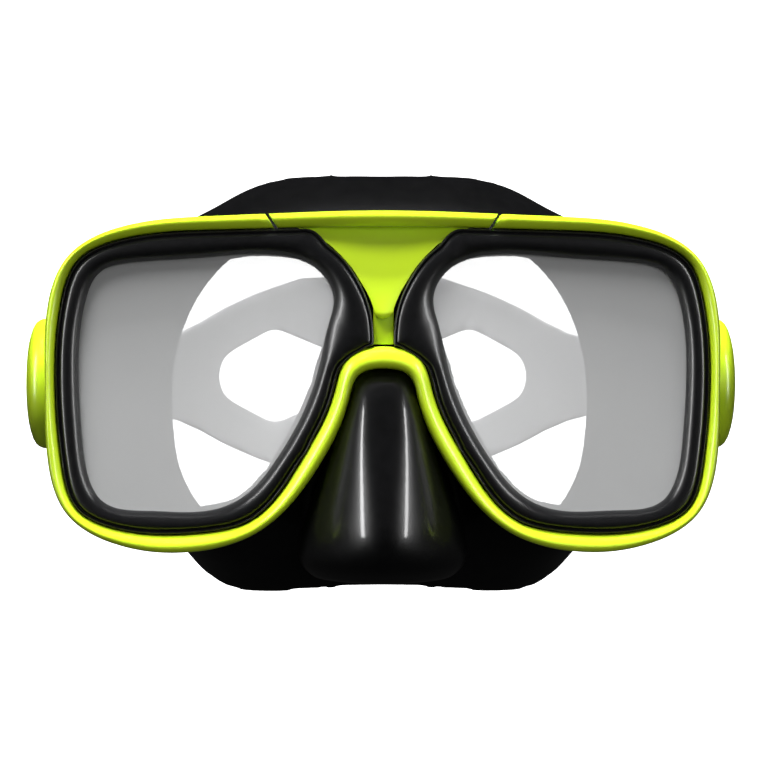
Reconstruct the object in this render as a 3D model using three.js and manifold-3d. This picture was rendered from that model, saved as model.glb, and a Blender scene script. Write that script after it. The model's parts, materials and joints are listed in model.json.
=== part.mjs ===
// Twin-lens diving mask with swivel strap buckles, as a three.js scene graph in millimetres.
// +X is the wearer's left, +Y points back towards the wearer's head, +Z is up.
// The origin is the centre of the face seal, where the wearer's face closes the skirt.
import * as THREE from "three";
import { mergeVertices } from "three/addons/utils/BufferGeometryUtils.js";
import Module from "manifold-3d";

const wasm = await Module();
wasm.setup();

// ---------------------------------------------------------------- driving dimensions
const FRONT = -52; // y of the rim's front at the middle of the mask
const WRAP_SLOPE = Math.tan(THREE.MathUtils.degToRad(5)); // each lens faces 5 degrees outwards
const WRAP_START = 10; // half the width that blends the two lens planes
const GAP = 0.3; // clearance between pieces that touch

const RIM_DEPTH = 12;
const LENS_FRONT = 4.5; // depths below are measured back from FRONT
const LENS_STEP = 0.5; // the lens margin under the bezel sits this much lower
const LENS_BACK = 8;
const SEAT_FRONT = 8.3; // the skirt's lens seat
const SEAT_BACK = 10.3;
const RETAINER_FRONT = 10.6;
const RETAINER_BACK = 12.6;
const RETAINER_INSET = [0.5, 3.6]; // inwards from the rim's inner edge
const SKIRT_INSET = 4; // where the skirt's wall leaves the seat
const SKIRT_WALL = 2;
const WALL_STRAIGHT = RETAINER_BACK + 1; // the skirt's wall runs straight back past the retainer
const LIP_WALL = 1.2;
const NOSE_WALL = 1.8;

const PIVOT = { y: -12.5, z: -1 }; // the axis that both buckles and the strap swing about
const LUG = {
  inner: 79.4,
  outer: 82.2,
  ear: 9,
  head: 1.5, // thickness of the swivel pin's head inside the ear
  half: 12,
  foot: [83.2, 85], // joins the rim's back edge
  footFront: -37,
  wall: [-32.2, -29.9], // crosses from the foot to the ear
};
const SWIVEL_RADIUS = 3.5;
const SWIVEL_HEAD = 6;
const SWIVEL_END = 88; // the pin stops inside the buckle's domed head
const BUCKLE = {
  inner: 82.7,
  outer: 88.5,
  dome: 3.8,
  radius: 17,
  arm: 14.2, // half the height over both arms
  slot: 11.2, // half the height between the arms
  slotFront: -3.2,
  rear: 15,
};
const ROLLER = { x: 86, y: 9.5, radius: 3.2, bore: 1.6, axle: 1.25, half: 10.8 };
const LEVER = { x: 89.2, y: 0.4, barrel: 2.3, ear: 2.4, pin: 1, bore: 1.3, half: 10.6, reach: 26 };
const LEVER_PLATE = [92.2, 93.6]; // inner and outer x of the lever's flat plate
const PIN_HALF = 13.2; // the axle and the lever pin end inside blind bores in the arms
const SPRING = { wire: 0.3, coil: 1.65, turns: 2.5, half: 1.6, slot: 2.6 };
const KEEPER = { wall: 1.5, span: [49, 57], room: 0.5 }; // its place along the strap's inner run
const STRAP = { thickness: 2, half: 10, backRadius: 68, backCentre: 62, corner: 3.5 };
const WRAP_RADIUS = ROLLER.radius + 2 * GAP + STRAP.thickness / 2; // the strap's middle round the roller

// ---------------------------------------------------------------- outlines, seen from the front, x and z
// Rim, from the top middle round one side to the top of the nose arch: outer edge x, z, inner edge x, z.
const RIM_EDGES = [
  [0, 42.9, 0, 38.9],
  [43, 41.6, 43, 38.1],
  [67.8, 38.5, 67.2, 35.6],
  [79.5, 31.6, 77, 30.6],
  [84.4, 20.6, 81.2, 20.6],
  [85.3, 0, 82.9, 0],
  [84.5, -21.4, 81.2, -21.4],
  [80, -33.4, 77.5, -32.3],
  [69, -40.6, 68, -37.2],
  [46, -42.7, 46, -38.2],
  [31, -37.6, 33.5, -35.2],
  [15.2, -19.6, 19.9, -18.6],
  [8.6, -4.4, 12.4, -3],
  [6.4, 1.5, 9.5, 5.4],
  [0, 3.3, 0, 8.9],
];
// Bezel of the lens at +X, round from the top near the bridge: outer edge x, z, lens opening x, z.
const BEZEL_EDGES = [
  [22.2, 37.3, 24.8, 31.6],
  [46, 37.3, 46, 31.1],
  [64.5, 35.3, 63.5, 29.9],
  [75, 31.2, 71.5, 27.4],
  [80, 22.5, 74.8, 21],
  [82.3, 1.6, 76.8, 1.6],
  [81.2, -17.2, 75.8, -15.6],
  [79.4, -26.6, 74, -25.2],
  [74.8, -33.8, 71, -30.1],
  [61, -37, 58.5, -32.6],
  [40.5, -37, 42.2, -32.1],
  [32.4, -33.2, 35.2, -28.9],
  [21.2, -20.6, 27.2, -19.9],
  [15.8, -9.9, 21, -9.4],
  [10.6, 4.2, 16, 4.6],
  [3.3, 9.6, 13.8, 14.4],
  [2.9, 16.1, 12.5, 20.6],
  [5.8, 24.4, 14, 25.3],
  [12.4, 33, 19, 29.9],
];
// Skirt at the face, matched to the rows of RIM_EDGES: outer lip x, z, face opening x, z.
const FACE_EDGES = [
  [0, 53.8, 0, 42],
  [33, 51.2, 24, 39.5],
  [47, 41.3, 38.5, 32.5],
  [54.8, 29.5, 47.8, 22.5],
  [59.2, 15.5, 53, 11.5],
  [60.5, 0, 55.4, 0],
  [60, -14, 55.2, -12],
  [58.2, -27, 53.4, -23.5],
  [55, -38.5, 48.8, -32.5],
  [49, -49.4, 40, -40.6],
  [38.4, -56, 29.5, -45],
  [22, -56, 18, -46.2],
  [10, -55, 8, -46.4],
  [5, -54.7, 4, -46.4],
  [0, -54.6, 0, -46.4],
];
// Nose pocket, from its top down: z, half width, front y.
const NOSE_LEVELS = [
  [9, 5, -38.9],
  [2.4, 4.6, -38.9],
  [0, 6, -48],
  [-4, 7.6, -53.5],
  [-12, 10.4, -57.5],
  [-22, 13.9, -62],
  [-31, 17.6, -65.5],
  [-39, 19.4, -66.6],
  [-46, 19, -63.5],
  [-50.6, 15, -54],
];
const NOSE_CENTRE = -38;
const NOSE_BACK = -12;

// One window of the strap's split back, x and z as seen from the front.
const STRAP_WINDOW = [
  [47.6, 0],
  [45.8, 6.2],
  [30, 15],
  [11, 7],
  [9, 0],
  [11, -7],
  [30, -15],
  [45.8, -6.2],
];
// Half height of the strap along its length from the back of the head.
const STRAP_HEIGHTS = [
  [0, 31],
  [22, 30],
  [36, 25.5],
  [48, 20.8],
  [58, 16.4],
  [68, 13.2],
  [82, 10.8],
  [96, STRAP.half],
];

// ---------------------------------------------------------------- materials
const finish = (color, roughness, metalness = 0) =>
  new THREE.MeshStandardMaterial({ color, roughness, metalness });
const limePlastic = finish(0xcfff1c, 0.35);
const blackGloss = finish(0x0c0c0d, 0.18);
const blackPlastic = finish(0x151516, 0.45);
const silicone = finish(0x0a0a0a, 0.3);
const steel = finish(0xb8babd, 0.3, 1);
const glass = finish(0xe9eeee, 0.05);
glass.transparent = true;
glass.opacity = 0.35;

// ---------------------------------------------------------------- mesh and solid helpers
// How far back the front surface lies at x: flat for each lens, blended in the middle.
const wrap = (x) => {
  const a = Math.abs(x);
  return WRAP_SLOPE * (a < WRAP_START ? (a * a) / (2 * WRAP_START) : a - WRAP_START / 2);
};
const depthAt = (depth, x) => FRONT + depth + wrap(x);
const lipY = (x) => -16 + 24 * (x / 60) ** 2;

// A closed body from points and triangles, turned so that its faces point out.
function body(points, triangles) {
  const v = (i) => new THREE.Vector3(...points[i]);
  const volume = triangles.reduce((sum, [a, b, c]) => sum + v(a).dot(v(b).cross(v(c))), 0);
  const index = triangles.flatMap(([a, b, c]) => (volume < 0 ? [a, c, b] : [a, b, c]));
  const geometry = new THREE.BufferGeometry();
  geometry.setAttribute("position", new THREE.Float32BufferAttribute(points.flat(), 3));
  geometry.setIndex(index);
  return geometry;
}

// Joins rings of points, each with the same count. A closed loft is a loop; an open one gets two caps.
function loft(rings, { loop = false, capAxes = [0, 2] } = {}) {
  const n = rings[0].length;
  const triangles = [];
  const last = loop ? rings.length : rings.length - 1;
  for (let r = 0; r < last; r++) {
    const near = r * n;
    const far = ((r + 1) % rings.length) * n;
    for (let i = 0; i < n; i++) {
      const j = (i + 1) % n;
      triangles.push([near + i, near + j, far + j], [near + i, far + j, far + i]);
    }
  }
  if (!loop) {
    const [u, w] = capAxes;
    for (const [ring, start, flip] of [
      [rings[0], 0, true],
      [rings[rings.length - 1], (rings.length - 1) * n, false],
    ]) {
      const flat = ring.map((p) => new THREE.Vector2(p[u], p[w]));
      const clockwise = THREE.ShapeUtils.isClockWise(flat);
      for (const [a, b, c] of THREE.ShapeUtils.triangulateShape(flat, [])) {
        const cap = flip !== clockwise ? [a, c, b] : [a, b, c];
        triangles.push(cap.map((i) => start + i));
      }
    }
  }
  return body(rings.flat(), triangles);
}

function solid(geometry) {
  const bare = geometry.index ? geometry.toNonIndexed() : geometry.clone();
  bare.deleteAttribute("normal");
  bare.deleteAttribute("uv");
  const merged = mergeVertices(bare, 1e-3);
  return new wasm.Manifold(
    new wasm.Mesh({
      numProp: 3,
      vertProperties: merged.attributes.position.array,
      triVerts: new Uint32Array(merged.index.array),
    }),
  );
}

function geometryOf(made) {
  const mesh = made.getMesh();
  const geometry = new THREE.BufferGeometry();
  geometry.setAttribute("position", new THREE.BufferAttribute(mesh.vertProperties, 3));
  geometry.setIndex(new THREE.BufferAttribute(mesh.triVerts, 1));
  return geometry;
}

// Keeps the largest connected part, without the slivers that coarse facets leave beside a cut.
function largestPart(geometry) {
  const index = geometry.index.array;
  const parent = Array.from({ length: geometry.attributes.position.count }, (_, i) => i);
  const root = (i) => {
    let top = i;
    while (parent[top] !== top) top = parent[top];
    parent[i] = top;
    return top;
  };
  for (let i = 0; i < index.length; i += 3) {
    parent[root(index[i])] = root(index[i + 1]);
    parent[root(index[i + 1])] = root(index[i + 2]);
  }
  const parts = new Map();
  for (let i = 0; i < index.length; i += 3) {
    const key = root(index[i]);
    if (!parts.has(key)) parts.set(key, []);
    parts.get(key).push(index[i], index[i + 1], index[i + 2]);
  }
  const largest = [...parts.values()].reduce((a, b) => (b.length > a.length ? b : a));
  const from = geometry.attributes.position;
  const positions = largest.flatMap((i) => [from.getX(i), from.getY(i), from.getZ(i)]);
  const made = new THREE.BufferGeometry();
  made.setAttribute("position", new THREE.Float32BufferAttribute(positions, 3));
  return mergeVertices(made, 1e-6);
}

const union = (...parts) => parts.map(solid).reduce((a, b) => a.add(b));
const boxOf = (x, y, z) =>
  new THREE.BoxGeometry(x[1] - x[0], y[1] - y[0], z[1] - z[0]).translate(
    (x[0] + x[1]) / 2,
    (y[0] + y[1]) / 2,
    (z[0] + z[1]) / 2,
  );
// A cylinder along X or Z between two stations.
function rod(axis, radius, [from, to], [a, b], sides = 20) {
  const geometry = new THREE.CylinderGeometry(radius, radius, to - from, sides);
  if (axis === "x") return geometry.rotateZ(Math.PI / 2).translate((from + to) / 2, a, b);
  return geometry.rotateX(Math.PI / 2).translate(a, b, (from + to) / 2);
}
const shapeOf = (points) => new THREE.Shape(points.map((p) => new THREE.Vector2(...p)));
// A flat outline in x and y, with height along Z.
function slab(points, [from, to], curveSegments = 6) {
  const shape = points instanceof THREE.Shape ? points : shapeOf(points);
  const options = { depth: to - from, bevelEnabled: false, curveSegments };
  return new THREE.ExtrudeGeometry(shape, options).translate(0, 0, from);
}
// A flat outline in x and z, with depth along Y.
const upright = (points, [from, to]) =>
  new THREE.ExtrudeGeometry(shapeOf(points), { depth: to - from, bevelEnabled: false })
    .rotateX(Math.PI / 2)
    .translate(0, to, 0);

// ---------------------------------------------------------------- smooth outlines
// Columns of a table as a closed smooth curve, sampled at the same parameters for every pair of columns.
function closedCurve(rows, column, count) {
  const curve = new THREE.CatmullRomCurve3(
    rows.map((row) => new THREE.Vector3(row[column], row[column + 1], 0)),
    true,
  );
  return Array.from({ length: count }, (_, i) => {
    const p = curve.getPoint(i / count);
    return [p.x, p.y];
  });
}
// A half outline that starts and ends on the middle line, made whole.
const whole = (rows) => [
  ...rows,
  ...rows
    .slice(1, -1)
    .reverse()
    .map((row) => row.map((value, k) => (k % 2 === 0 ? -value : value))),
];
// A closed curve moved inwards.
function inset(points, distance) {
  const n = points.length;
  const area = points.reduce((sum, [x, z], i) => {
    const [nextX, nextZ] = points[(i + 1) % n];
    return sum + x * nextZ - nextX * z;
  }, 0);
  return points.map((p, i) => {
    const [ax, az] = points[(i + n - 1) % n];
    const [bx, bz] = points[(i + 1) % n];
    const length = Math.hypot(bx - ax, bz - az);
    const side = (Math.sign(area) * distance) / length;
    return [p[0] - (bz - az) * side, p[1] + (bx - ax) * side];
  });
}
const between = (a, b, t) => a.map((p, i) => [p[0] + (b[i][0] - p[0]) * t, p[1] + (b[i][1] - p[1]) * t]);
const atDepth = (outline, depth) => outline.map(([x, z]) => [x, depthAt(depth, x), z]);
// A hoop between two matched outlines; its section is a list of [share from inner to outer, depth].
const hoop = (inner, outer, section) =>
  loft(
    section.map(([share, depth]) => atDepth(between(inner, outer, share), depth)),
    { loop: true },
  );

const RIM_STEPS = 78;
const LENS_STEPS = 38;
const rimOuter = closedCurve(whole(RIM_EDGES), 0, RIM_STEPS);
const rimInner = closedCurve(whole(RIM_EDGES), 2, RIM_STEPS);
const mirrored = (rows) => rows.map(([ox, oz, ix, iz]) => [-ox, oz, -ix, iz]);

// ---------------------------------------------------------------- rim and bridge
// The slanted joints between the bridge cap and the rim's top bar: x at the wedge's top and bottom edge.
const BRIDGE_JOINT = { top: 32.6, bottom: 25.1, topZ: 46, bottomZ: 36 };

const THROUGH_RIM = [-60, -30]; // a span in y that passes right through the rim
const rimSection = [
  [0, 1.8],
  [0.15, 0.7],
  [0.45, 0.1],
  [0.8, 0.5],
  [1, 2],
  [1, RIM_DEPTH],
  [0, RIM_DEPTH],
];

// The wedge over the middle of the top bar that divides the bridge cap from the rim.
function topBarCut(clearance) {
  const { top, bottom, topZ, bottomZ } = BRIDGE_JOINT;
  return upright(
    [
      [-bottom - clearance, bottomZ],
      [bottom + clearance, bottomZ],
      [top + clearance, topZ],
      [-top - clearance, topZ],
    ],
    THROUGH_RIM,
  );
}

// The side lug behind the rim that carries the buckle's pivot.
function lug(side) {
  const { inner, outer, ear, foot, footFront, wall, half } = LUG;
  const { y, z } = PIVOT;
  const blocks = union(
    boxOf(foot, [footFront, wall[1] - 0.1], [z - half, z + half]),
    boxOf([inner, foot[1]], wall, [z - half, z + half]),
    boxOf([inner, outer], [wall[0] + 1, y], [z - ear, z + ear]),
    rod("x", ear, [inner, outer], [y, z], 28),
  );
  const bored = blocks.subtract(solid(rod("x", SWIVEL_RADIUS + GAP, [inner - 1, outer + 1], [y, z])));
  const made = geometryOf(bored);
  return solid(side > 0 ? made : mirrorX(made));
}

function rim() {
  return geometryOf(
    solid(hoop(rimInner, rimOuter, rimSection))
      .subtract(solid(topBarCut(GAP / 2)))
      .subtract(bezelRoom(1))
      .subtract(bezelRoom(-1))
      .add(lug(1))
      .add(lug(-1)),
  );
}

// The centre of the top bar with the web that tapers down between the bezels to a round tip.
const BRIDGE_TIP = { z: 17.8, radius: 2.3 };
const WEB = { half: 24, top: 40, shoulder: 37, bend: [8, 32], thickness: 2.2, back: 5.2 };
const STRUT = { half: 2.6, z: [9.3, 26], depth: [5.5, 7.8] };
function bridgeCap() {
  const bar = solid(hoop(rimInner, rimOuter, rimSection)).intersect(solid(topBarCut(-GAP / 2)));
  const web = new THREE.Shape();
  const { half, top, shoulder, bend: [bendX, bendZ], thickness, back } = WEB;
  web.moveTo(-half, top);
  web.lineTo(half, top);
  web.lineTo(half, shoulder);
  web.quadraticCurveTo(bendX, bendZ, BRIDGE_TIP.radius, BRIDGE_TIP.z);
  web.absarc(0, BRIDGE_TIP.z, BRIDGE_TIP.radius, 0, -Math.PI, true);
  web.quadraticCurveTo(-bendX, bendZ, -half, shoulder);
  const plate = new THREE.ExtrudeGeometry(web, { depth: thickness, bevelEnabled: false, curveSegments: 8 })
    .rotateX(Math.PI / 2)
    .translate(0, FRONT + back, 0);
  return geometryOf(bar.add(solid(plate)).subtract(bezelRoom(1)).subtract(bezelRoom(-1)));
}

function bridgeStrut() {
  const { half, z, depth } = STRUT;
  const strip = boxOf([-half, half], [FRONT + depth[0], FRONT + depth[1]], z);
  return geometryOf(solid(strip).subtract(bezelRoom(1)).subtract(bezelRoom(-1)));
}

// ---------------------------------------------------------------- bezels and lenses
function lensSide(side) {
  const rows = side > 0 ? BEZEL_EDGES : mirrored(BEZEL_EDGES);
  return { outer: closedCurve(rows, 0, LENS_STEPS), opening: closedCurve(rows, 2, LENS_STEPS) };
}

const LENS_EDGE = 0.34; // share of the way under the bezel where the lens ends
const bezelSection = [
  [0, 3.4],
  [0.25, 1.5],
  [0.55, 0.7],
  [0.82, 1.3],
  [0.88, 2],
  [1, 1.8],
  [1, LENS_BACK - 0.2],
  [LENS_EDGE + 0.08, LENS_BACK - 0.2],
  [LENS_EDGE + 0.08, LENS_FRONT + LENS_STEP - GAP],
  [0, LENS_FRONT + LENS_STEP - GAP],
];

function bezel(side) {
  const { outer, opening } = lensSide(side);
  return hoop(opening, outer, bezelSection);
}

// The space that a bezel and its clearance take up in the rim and the bridge.
function bezelRoom(side) {
  const grown = inset(lensSide(side).outer, -GAP);
  return solid(loft([atDepth(grown, -2), atDepth(grown, SEAT_BACK + GAP)]));
}

function lens(side) {
  const { outer, opening } = lensSide(side);
  const raised = between(opening, outer, -0.07);
  const edge = between(opening, outer, LENS_EDGE);
  return loft([
    atDepth(raised, LENS_FRONT),
    atDepth(raised, LENS_FRONT + LENS_STEP),
    atDepth(edge, LENS_FRONT + LENS_STEP),
    atDepth(edge, LENS_BACK),
  ]);
}

// ---------------------------------------------------------------- skirt and its retainer
const retainer = () =>
  hoop(inset(rimInner, RETAINER_INSET[1]), inset(rimInner, RETAINER_INSET[0]), [
    [0, RETAINER_FRONT],
    [1, RETAINER_FRONT],
    [1, RETAINER_BACK],
    [0, RETAINER_BACK],
  ]);

const lipOuter = closedCurve(whole(FACE_EDGES), 0, RIM_STEPS);
const faceOpening = closedCurve(whole(FACE_EDGES), 2, RIM_STEPS);
const onLip = (outline, forward) => outline.map(([x, z]) => [x, lipY(x) - forward, z]);
// The wall's shape halfway back, bulged a little outwards.
const midWall = (front, back) => {
  const middle = inset(between(front, back, 0.5), -1.5);
  return middle.map(([x, z], i) => [x, (depthAt(SEAT_BACK, front[i][0]) + lipY(back[i][0])) / 2, z]);
};

// The skirt's outside, filled: from the lens seats back to the lip that rests on the face.
function skirtOutside() {
  const front = inset(rimInner, SKIRT_INSET);
  return loft([
    atDepth(front, SEAT_FRONT + 0.6),
    atDepth(front, WALL_STRAIGHT),
    midWall(front, lipOuter),
    onLip(lipOuter, 0),
    onLip(inset(faceOpening, 1), -0.5),
  ]);
}

// The air space inside the wall, which opens through both lens seats and through the lip.
function skirtInside() {
  const front = inset(rimInner, SKIRT_INSET + SKIRT_WALL);
  const back = inset(lipOuter, SKIRT_WALL);
  return loft([
    atDepth(front, SEAT_FRONT - 1),
    atDepth(front, WALL_STRAIGHT + SKIRT_WALL),
    midWall(front, back).map(([x, y, z]) => [x, y + SKIRT_WALL, z]),
    onLip(back, LIP_WALL),
    onLip(faceOpening, LIP_WALL - 0.5),
    onLip(faceOpening, -4),
  ]);
}

// The nose pocket as level rings of a rounded square.
function nose(wall, back) {
  const sides = 20;
  const rings = NOSE_LEVELS.map(([z, half, front], k) => {
    const level = k === 0 ? z - wall : k === NOSE_LEVELS.length - 1 ? z + wall : z;
    return Array.from({ length: sides }, (_, i) => {
      const angle = ((i + 0.5) / sides) * 2 * Math.PI;
      const square = (value) => Math.sign(value) * Math.abs(value) ** 0.75;
      const reach = Math.sin(angle) < 0 ? NOSE_CENTRE - front - wall : back - NOSE_CENTRE;
      return [(half - wall) * square(Math.cos(angle)), NOSE_CENTRE + reach * square(Math.sin(angle)), level];
    });
  });
  return loft(rings, { capAxes: [0, 1] });
}

// Closes the skirt between the two lens seats, behind the bridge.
const septum = () => loft([septumOutline(SEAT_FRONT), septumOutline(SEAT_BACK - 0.5)]);
function septumOutline(depth) {
  const half = [
    [0, 37],
    [10, 37],
    [23, 37],
    [14, 31],
    [7, 22],
    [4.4, 15],
    [4.4, 11],
    [0, 10.4],
  ];
  return atDepth(whole(half), depth);
}

function skirt() {
  const seatSection = [
    [0.02, SEAT_FRONT],
    [0.97, SEAT_FRONT],
    [0.97, SEAT_BACK],
    [0.02, SEAT_BACK],
  ];
  const seats = [1, -1].map((side) => {
    const { outer, opening } = lensSide(side);
    return solid(hoop(opening, outer, seatSection));
  });
  const made = union(skirtOutside(), nose(0, NOSE_BACK))
    .subtract(union(skirtInside(), nose(NOSE_WALL, NOSE_BACK + 4)))
    .add(seats[0])
    .add(seats[1])
    .add(solid(septum()));
  return largestPart(geometryOf(made));
}

// ---------------------------------------------------------------- buckle, on the +X side
// The same shape on the other side, with each triangle turned to face out again.
function mirrorX(geometry) {
  const made = geometry.index ? geometry.clone() : mergeVertices(geometry);
  made.scale(-1, 1, 1);
  const index = made.index.array;
  for (let i = 0; i < index.length; i += 3) {
    [index[i], index[i + 1]] = [index[i + 1], index[i]];
  }
  return made;
}

// Round swivel head with a domed face, and two arms back to the roller with ears for the lever pin.
function buckleBody() {
  const { inner, outer, dome, radius, arm, slot, slotFront, rear } = BUCKLE;
  const bore = [PIVOT.z - PIN_HALF - GAP, PIVOT.z + PIN_HALF + GAP];
  const { y, z } = PIVOT;
  const profile = [[0, 0], [radius - 0.6, 0], [radius, 0.6], [radius, outer - inner]];
  for (const degrees of [20, 40, 60, 80]) {
    const angle = THREE.MathUtils.degToRad(degrees);
    profile.push([radius * Math.cos(angle) ** 0.6, outer - inner + dome * Math.sin(angle)]);
  }
  profile.push([0, outer - inner + dome]);
  const head = new THREE.LatheGeometry(profile.map((p) => new THREE.Vector2(...p)), 36)
    .rotateZ(-Math.PI / 2)
    .translate(inner, y, z);
  const armOutline = new THREE.Shape();
  armOutline.moveTo(inner, y);
  armOutline.lineTo(inner, rear - 4);
  armOutline.quadraticCurveTo(inner, rear, inner + 4, rear);
  armOutline.lineTo(ROLLER.x + 1, rear);
  armOutline.quadraticCurveTo(ROLLER.x + 4.6, rear - 1, ROLLER.x + 4.8, ROLLER.y);
  armOutline.lineTo(LEVER.x + LEVER.ear - 0.5, LEVER.y + 3);
  armOutline.absarc(LEVER.x, LEVER.y, LEVER.ear, 0.9, -1.6, true);
  armOutline.lineTo(outer, y);
  const arms = slab(armOutline, [z - arm, z + arm]);
  const slotCut = boxOf([inner - 2, 99], [slotFront, rear + 2], [z - slot, z + slot]);
  const made = union(head, arms)
    .subtract(solid(slotCut))
    .subtract(solid(rod("x", SWIVEL_RADIUS + GAP, [inner - 1, SWIVEL_END + GAP], [y, z])))
    .subtract(solid(rod("z", ROLLER.axle + GAP, bore, [ROLLER.x, ROLLER.y], 16)))
    .subtract(solid(rod("z", LEVER.pin + GAP, bore, [LEVER.x, LEVER.y], 16)));
  return geometryOf(made);
}

const swivelPin = () =>
  geometryOf(
    union(
      rod("x", SWIVEL_RADIUS, [LUG.inner - LUG.head, SWIVEL_END], [PIVOT.y, PIVOT.z], 24),
      rod("x", SWIVEL_HEAD, [LUG.inner - GAP - LUG.head, LUG.inner - GAP], [PIVOT.y, PIVOT.z], 24),
    ),
  );

const pinSpan = [PIVOT.z - PIN_HALF, PIVOT.z + PIN_HALF];
const rollerAxle = () => rod("z", ROLLER.axle, pinSpan, [ROLLER.x, ROLLER.y], 16);
const leverPin = () => rod("z", LEVER.pin, pinSpan, [LEVER.x, LEVER.y], 14);

function roller() {
  const { radius, bore, half, x, y } = ROLLER;
  const chamfer = 0.4;
  const profile = [
    [bore, -half],
    [radius - chamfer, -half],
    [radius, chamfer - half],
    [radius, half - chamfer],
    [radius - chamfer, half],
    [bore, half],
    [bore, -half],
  ];
  return new THREE.LatheGeometry(profile.map((p) => new THREE.Vector2(...p)), 24)
    .rotateX(Math.PI / 2)
    .translate(x, y, PIVOT.z);
}

// Pawl lever: a barrel on its pin, a plate over the strap with a tooth above the roller, and a thumb tab.
function lever() {
  const { x, y, barrel, bore, half, reach } = LEVER;
  const [near, far] = LEVER_PLATE;
  const side = [
    [x + 0.6, y - 2],
    [far - 0.8, y - 0.8],
    [far, y + 2],
    [far, reach - 6],
    [far + 1.2, reach],
    [far - 0.8, reach],
    [near, reach - 5],
    [near, ROLLER.y + 1.2],
    [near - 0.1, ROLLER.y],
    [near, ROLLER.y - 1.2],
    [x, y + 1.8],
  ];
  const z = PIVOT.z;
  return geometryOf(
    union(slab(side, [z - half, z + half]), rod("z", barrel, [z - half, z + half], [x, y], 20))
      .subtract(solid(rod("z", bore, [z - 20, z + 20], [x, y], 16)))
      .subtract(solid(boxOf([80, 99], [y - 4, y + 3], [z - SPRING.slot, z + SPRING.slot]))),
  );
}

// Torsion spring round the lever pin, with one leg under the lever and one on the buckle.
function leverSpring() {
  const { wire, coil, turns, half } = SPRING;
  class Coil extends THREE.Curve {
    getPoint(t, target = new THREE.Vector3()) {
      const angle = t * turns * 2 * Math.PI + Math.PI / 2;
      return target.set(
        LEVER.x + coil * Math.cos(angle),
        LEVER.y + coil * Math.sin(angle),
        PIVOT.z + half * (2 * t - 1),
      );
    }
  }
  const section = new THREE.Shape().absarc(0, 0, wire, 0, 2 * Math.PI);
  return new THREE.ExtrudeGeometry(section, {
    extrudePath: new Coil(),
    steps: 28,
    curveSegments: 3,
    bevelEnabled: false,
  });
}

// ---------------------------------------------------------------- strap and keepers
// The tangent that the strap follows from the back of the head to the roller.
const toRoller = new THREE.Vector2(ROLLER.x, ROLLER.y - STRAP.backCentre);
const tangentAngle = Math.acos((STRAP.backRadius + WRAP_RADIUS) / toRoller.length());
const LEAN = tangentAngle + toRoller.angle() - 2 * Math.PI;
// A point given along the inner run (back from the roller) and across it (outwards).
function onRun(along, across) {
  const startX = ROLLER.x - WRAP_RADIUS * Math.cos(LEAN);
  const startY = ROLLER.y - WRAP_RADIUS * Math.sin(LEAN);
  return [
    startX - along * Math.sin(LEAN) + across * Math.cos(LEAN),
    startY + along * Math.cos(LEAN) + across * Math.sin(LEAN),
  ];
}
const RUN_LENGTH = Math.sqrt(toRoller.lengthSq() - (STRAP.backRadius + WRAP_RADIUS) ** 2);
const TAIL_OFFSET = STRAP.thickness + 0.4;
const TAIL_LEAVE = 0.19; // radians short of half a turn, where the tail leaves the roller
// The free tail outside the inner run, along and across it.
const TAIL_ROUTE = [
  [14, 6.6],
  [27, 3.9],
  [36, 2.7],
  [44, TAIL_OFFSET],
  [54, TAIL_OFFSET],
  [64, TAIL_OFFSET],
];

// The strap's middle line in plan for the +X half, from the back of the head to the end of the tail.
function strapLine() {
  const { backRadius, backCentre } = STRAP;
  const points = [];
  const backAngle = Math.PI / 2 - LEAN;
  const backSteps = 20;
  for (let i = 0; i < backSteps; i++) {
    const angle = (backAngle * i) / backSteps;
    points.push([backRadius * Math.sin(angle), backCentre + backRadius * Math.cos(angle)]);
  }
  for (const along of [RUN_LENGTH, 46, 24, 10]) points.push(onRun(along, 0));
  const wrapSteps = 9;
  for (let i = 0; i <= wrapSteps; i++) {
    const angle = Math.PI + LEAN + ((Math.PI - TAIL_LEAVE) * i) / wrapSteps;
    points.push([ROLLER.x + WRAP_RADIUS * Math.cos(angle), ROLLER.y + WRAP_RADIUS * Math.sin(angle)]);
  }
  for (const [along, across] of TAIL_ROUTE) points.push(onRun(along, across));
  return points;
}

function strapHalfHeight(length) {
  const rows = STRAP_HEIGHTS;
  const k = rows.findIndex(([s]) => s > length);
  if (k < 0) return rows[rows.length - 1][1];
  const [[s0, h0], [s1, h1]] = [rows[k - 1], rows[k]];
  const t = (length - s0) / (s1 - s0);
  return h0 + (h1 - h0) * t;
}

function strap() {
  const half = strapLine();
  const otherHalf = half.slice(1).reverse().map(([x, y]) => [-x, y]);
  const line = [...otherHalf, ...half];
  const middle = half.length - 1;
  const lengths = [0];
  for (let i = 1; i < half.length; i++) {
    const step = Math.hypot(half[i][0] - half[i - 1][0], half[i][1] - half[i - 1][1]);
    lengths.push(lengths[i - 1] + step);
  }
  const rings = line.map(([x, y], i) => {
    const [ax, ay] = line[Math.max(i - 1, 0)];
    const [bx, by] = line[Math.min(i + 1, line.length - 1)];
    const l = Math.hypot(bx - ax, by - ay);
    const nx = (-(by - ay) / l) * (STRAP.thickness / 2);
    const ny = ((bx - ax) / l) * (STRAP.thickness / 2);
    const h = strapHalfHeight(lengths[Math.abs(i - middle)]);
    const z = PIVOT.z;
    return [
      [x + nx, y + ny, z - h],
      [x + nx, y + ny, z + h],
      [x - nx, y - ny, z + h],
      [x - nx, y - ny, z - h],
    ];
  });
  const ribbon = solid(loft(rings, { capAxes: [0, 2] }));
  const window = STRAP_WINDOW.map(([x, z]) => [x, z + PIVOT.z]);
  const opening = upright(roundedCorners(window, STRAP.corner), [70, 140]);
  return geometryOf(ribbon.subtract(solid(opening)).subtract(solid(mirrorX(opening))));
}

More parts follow.
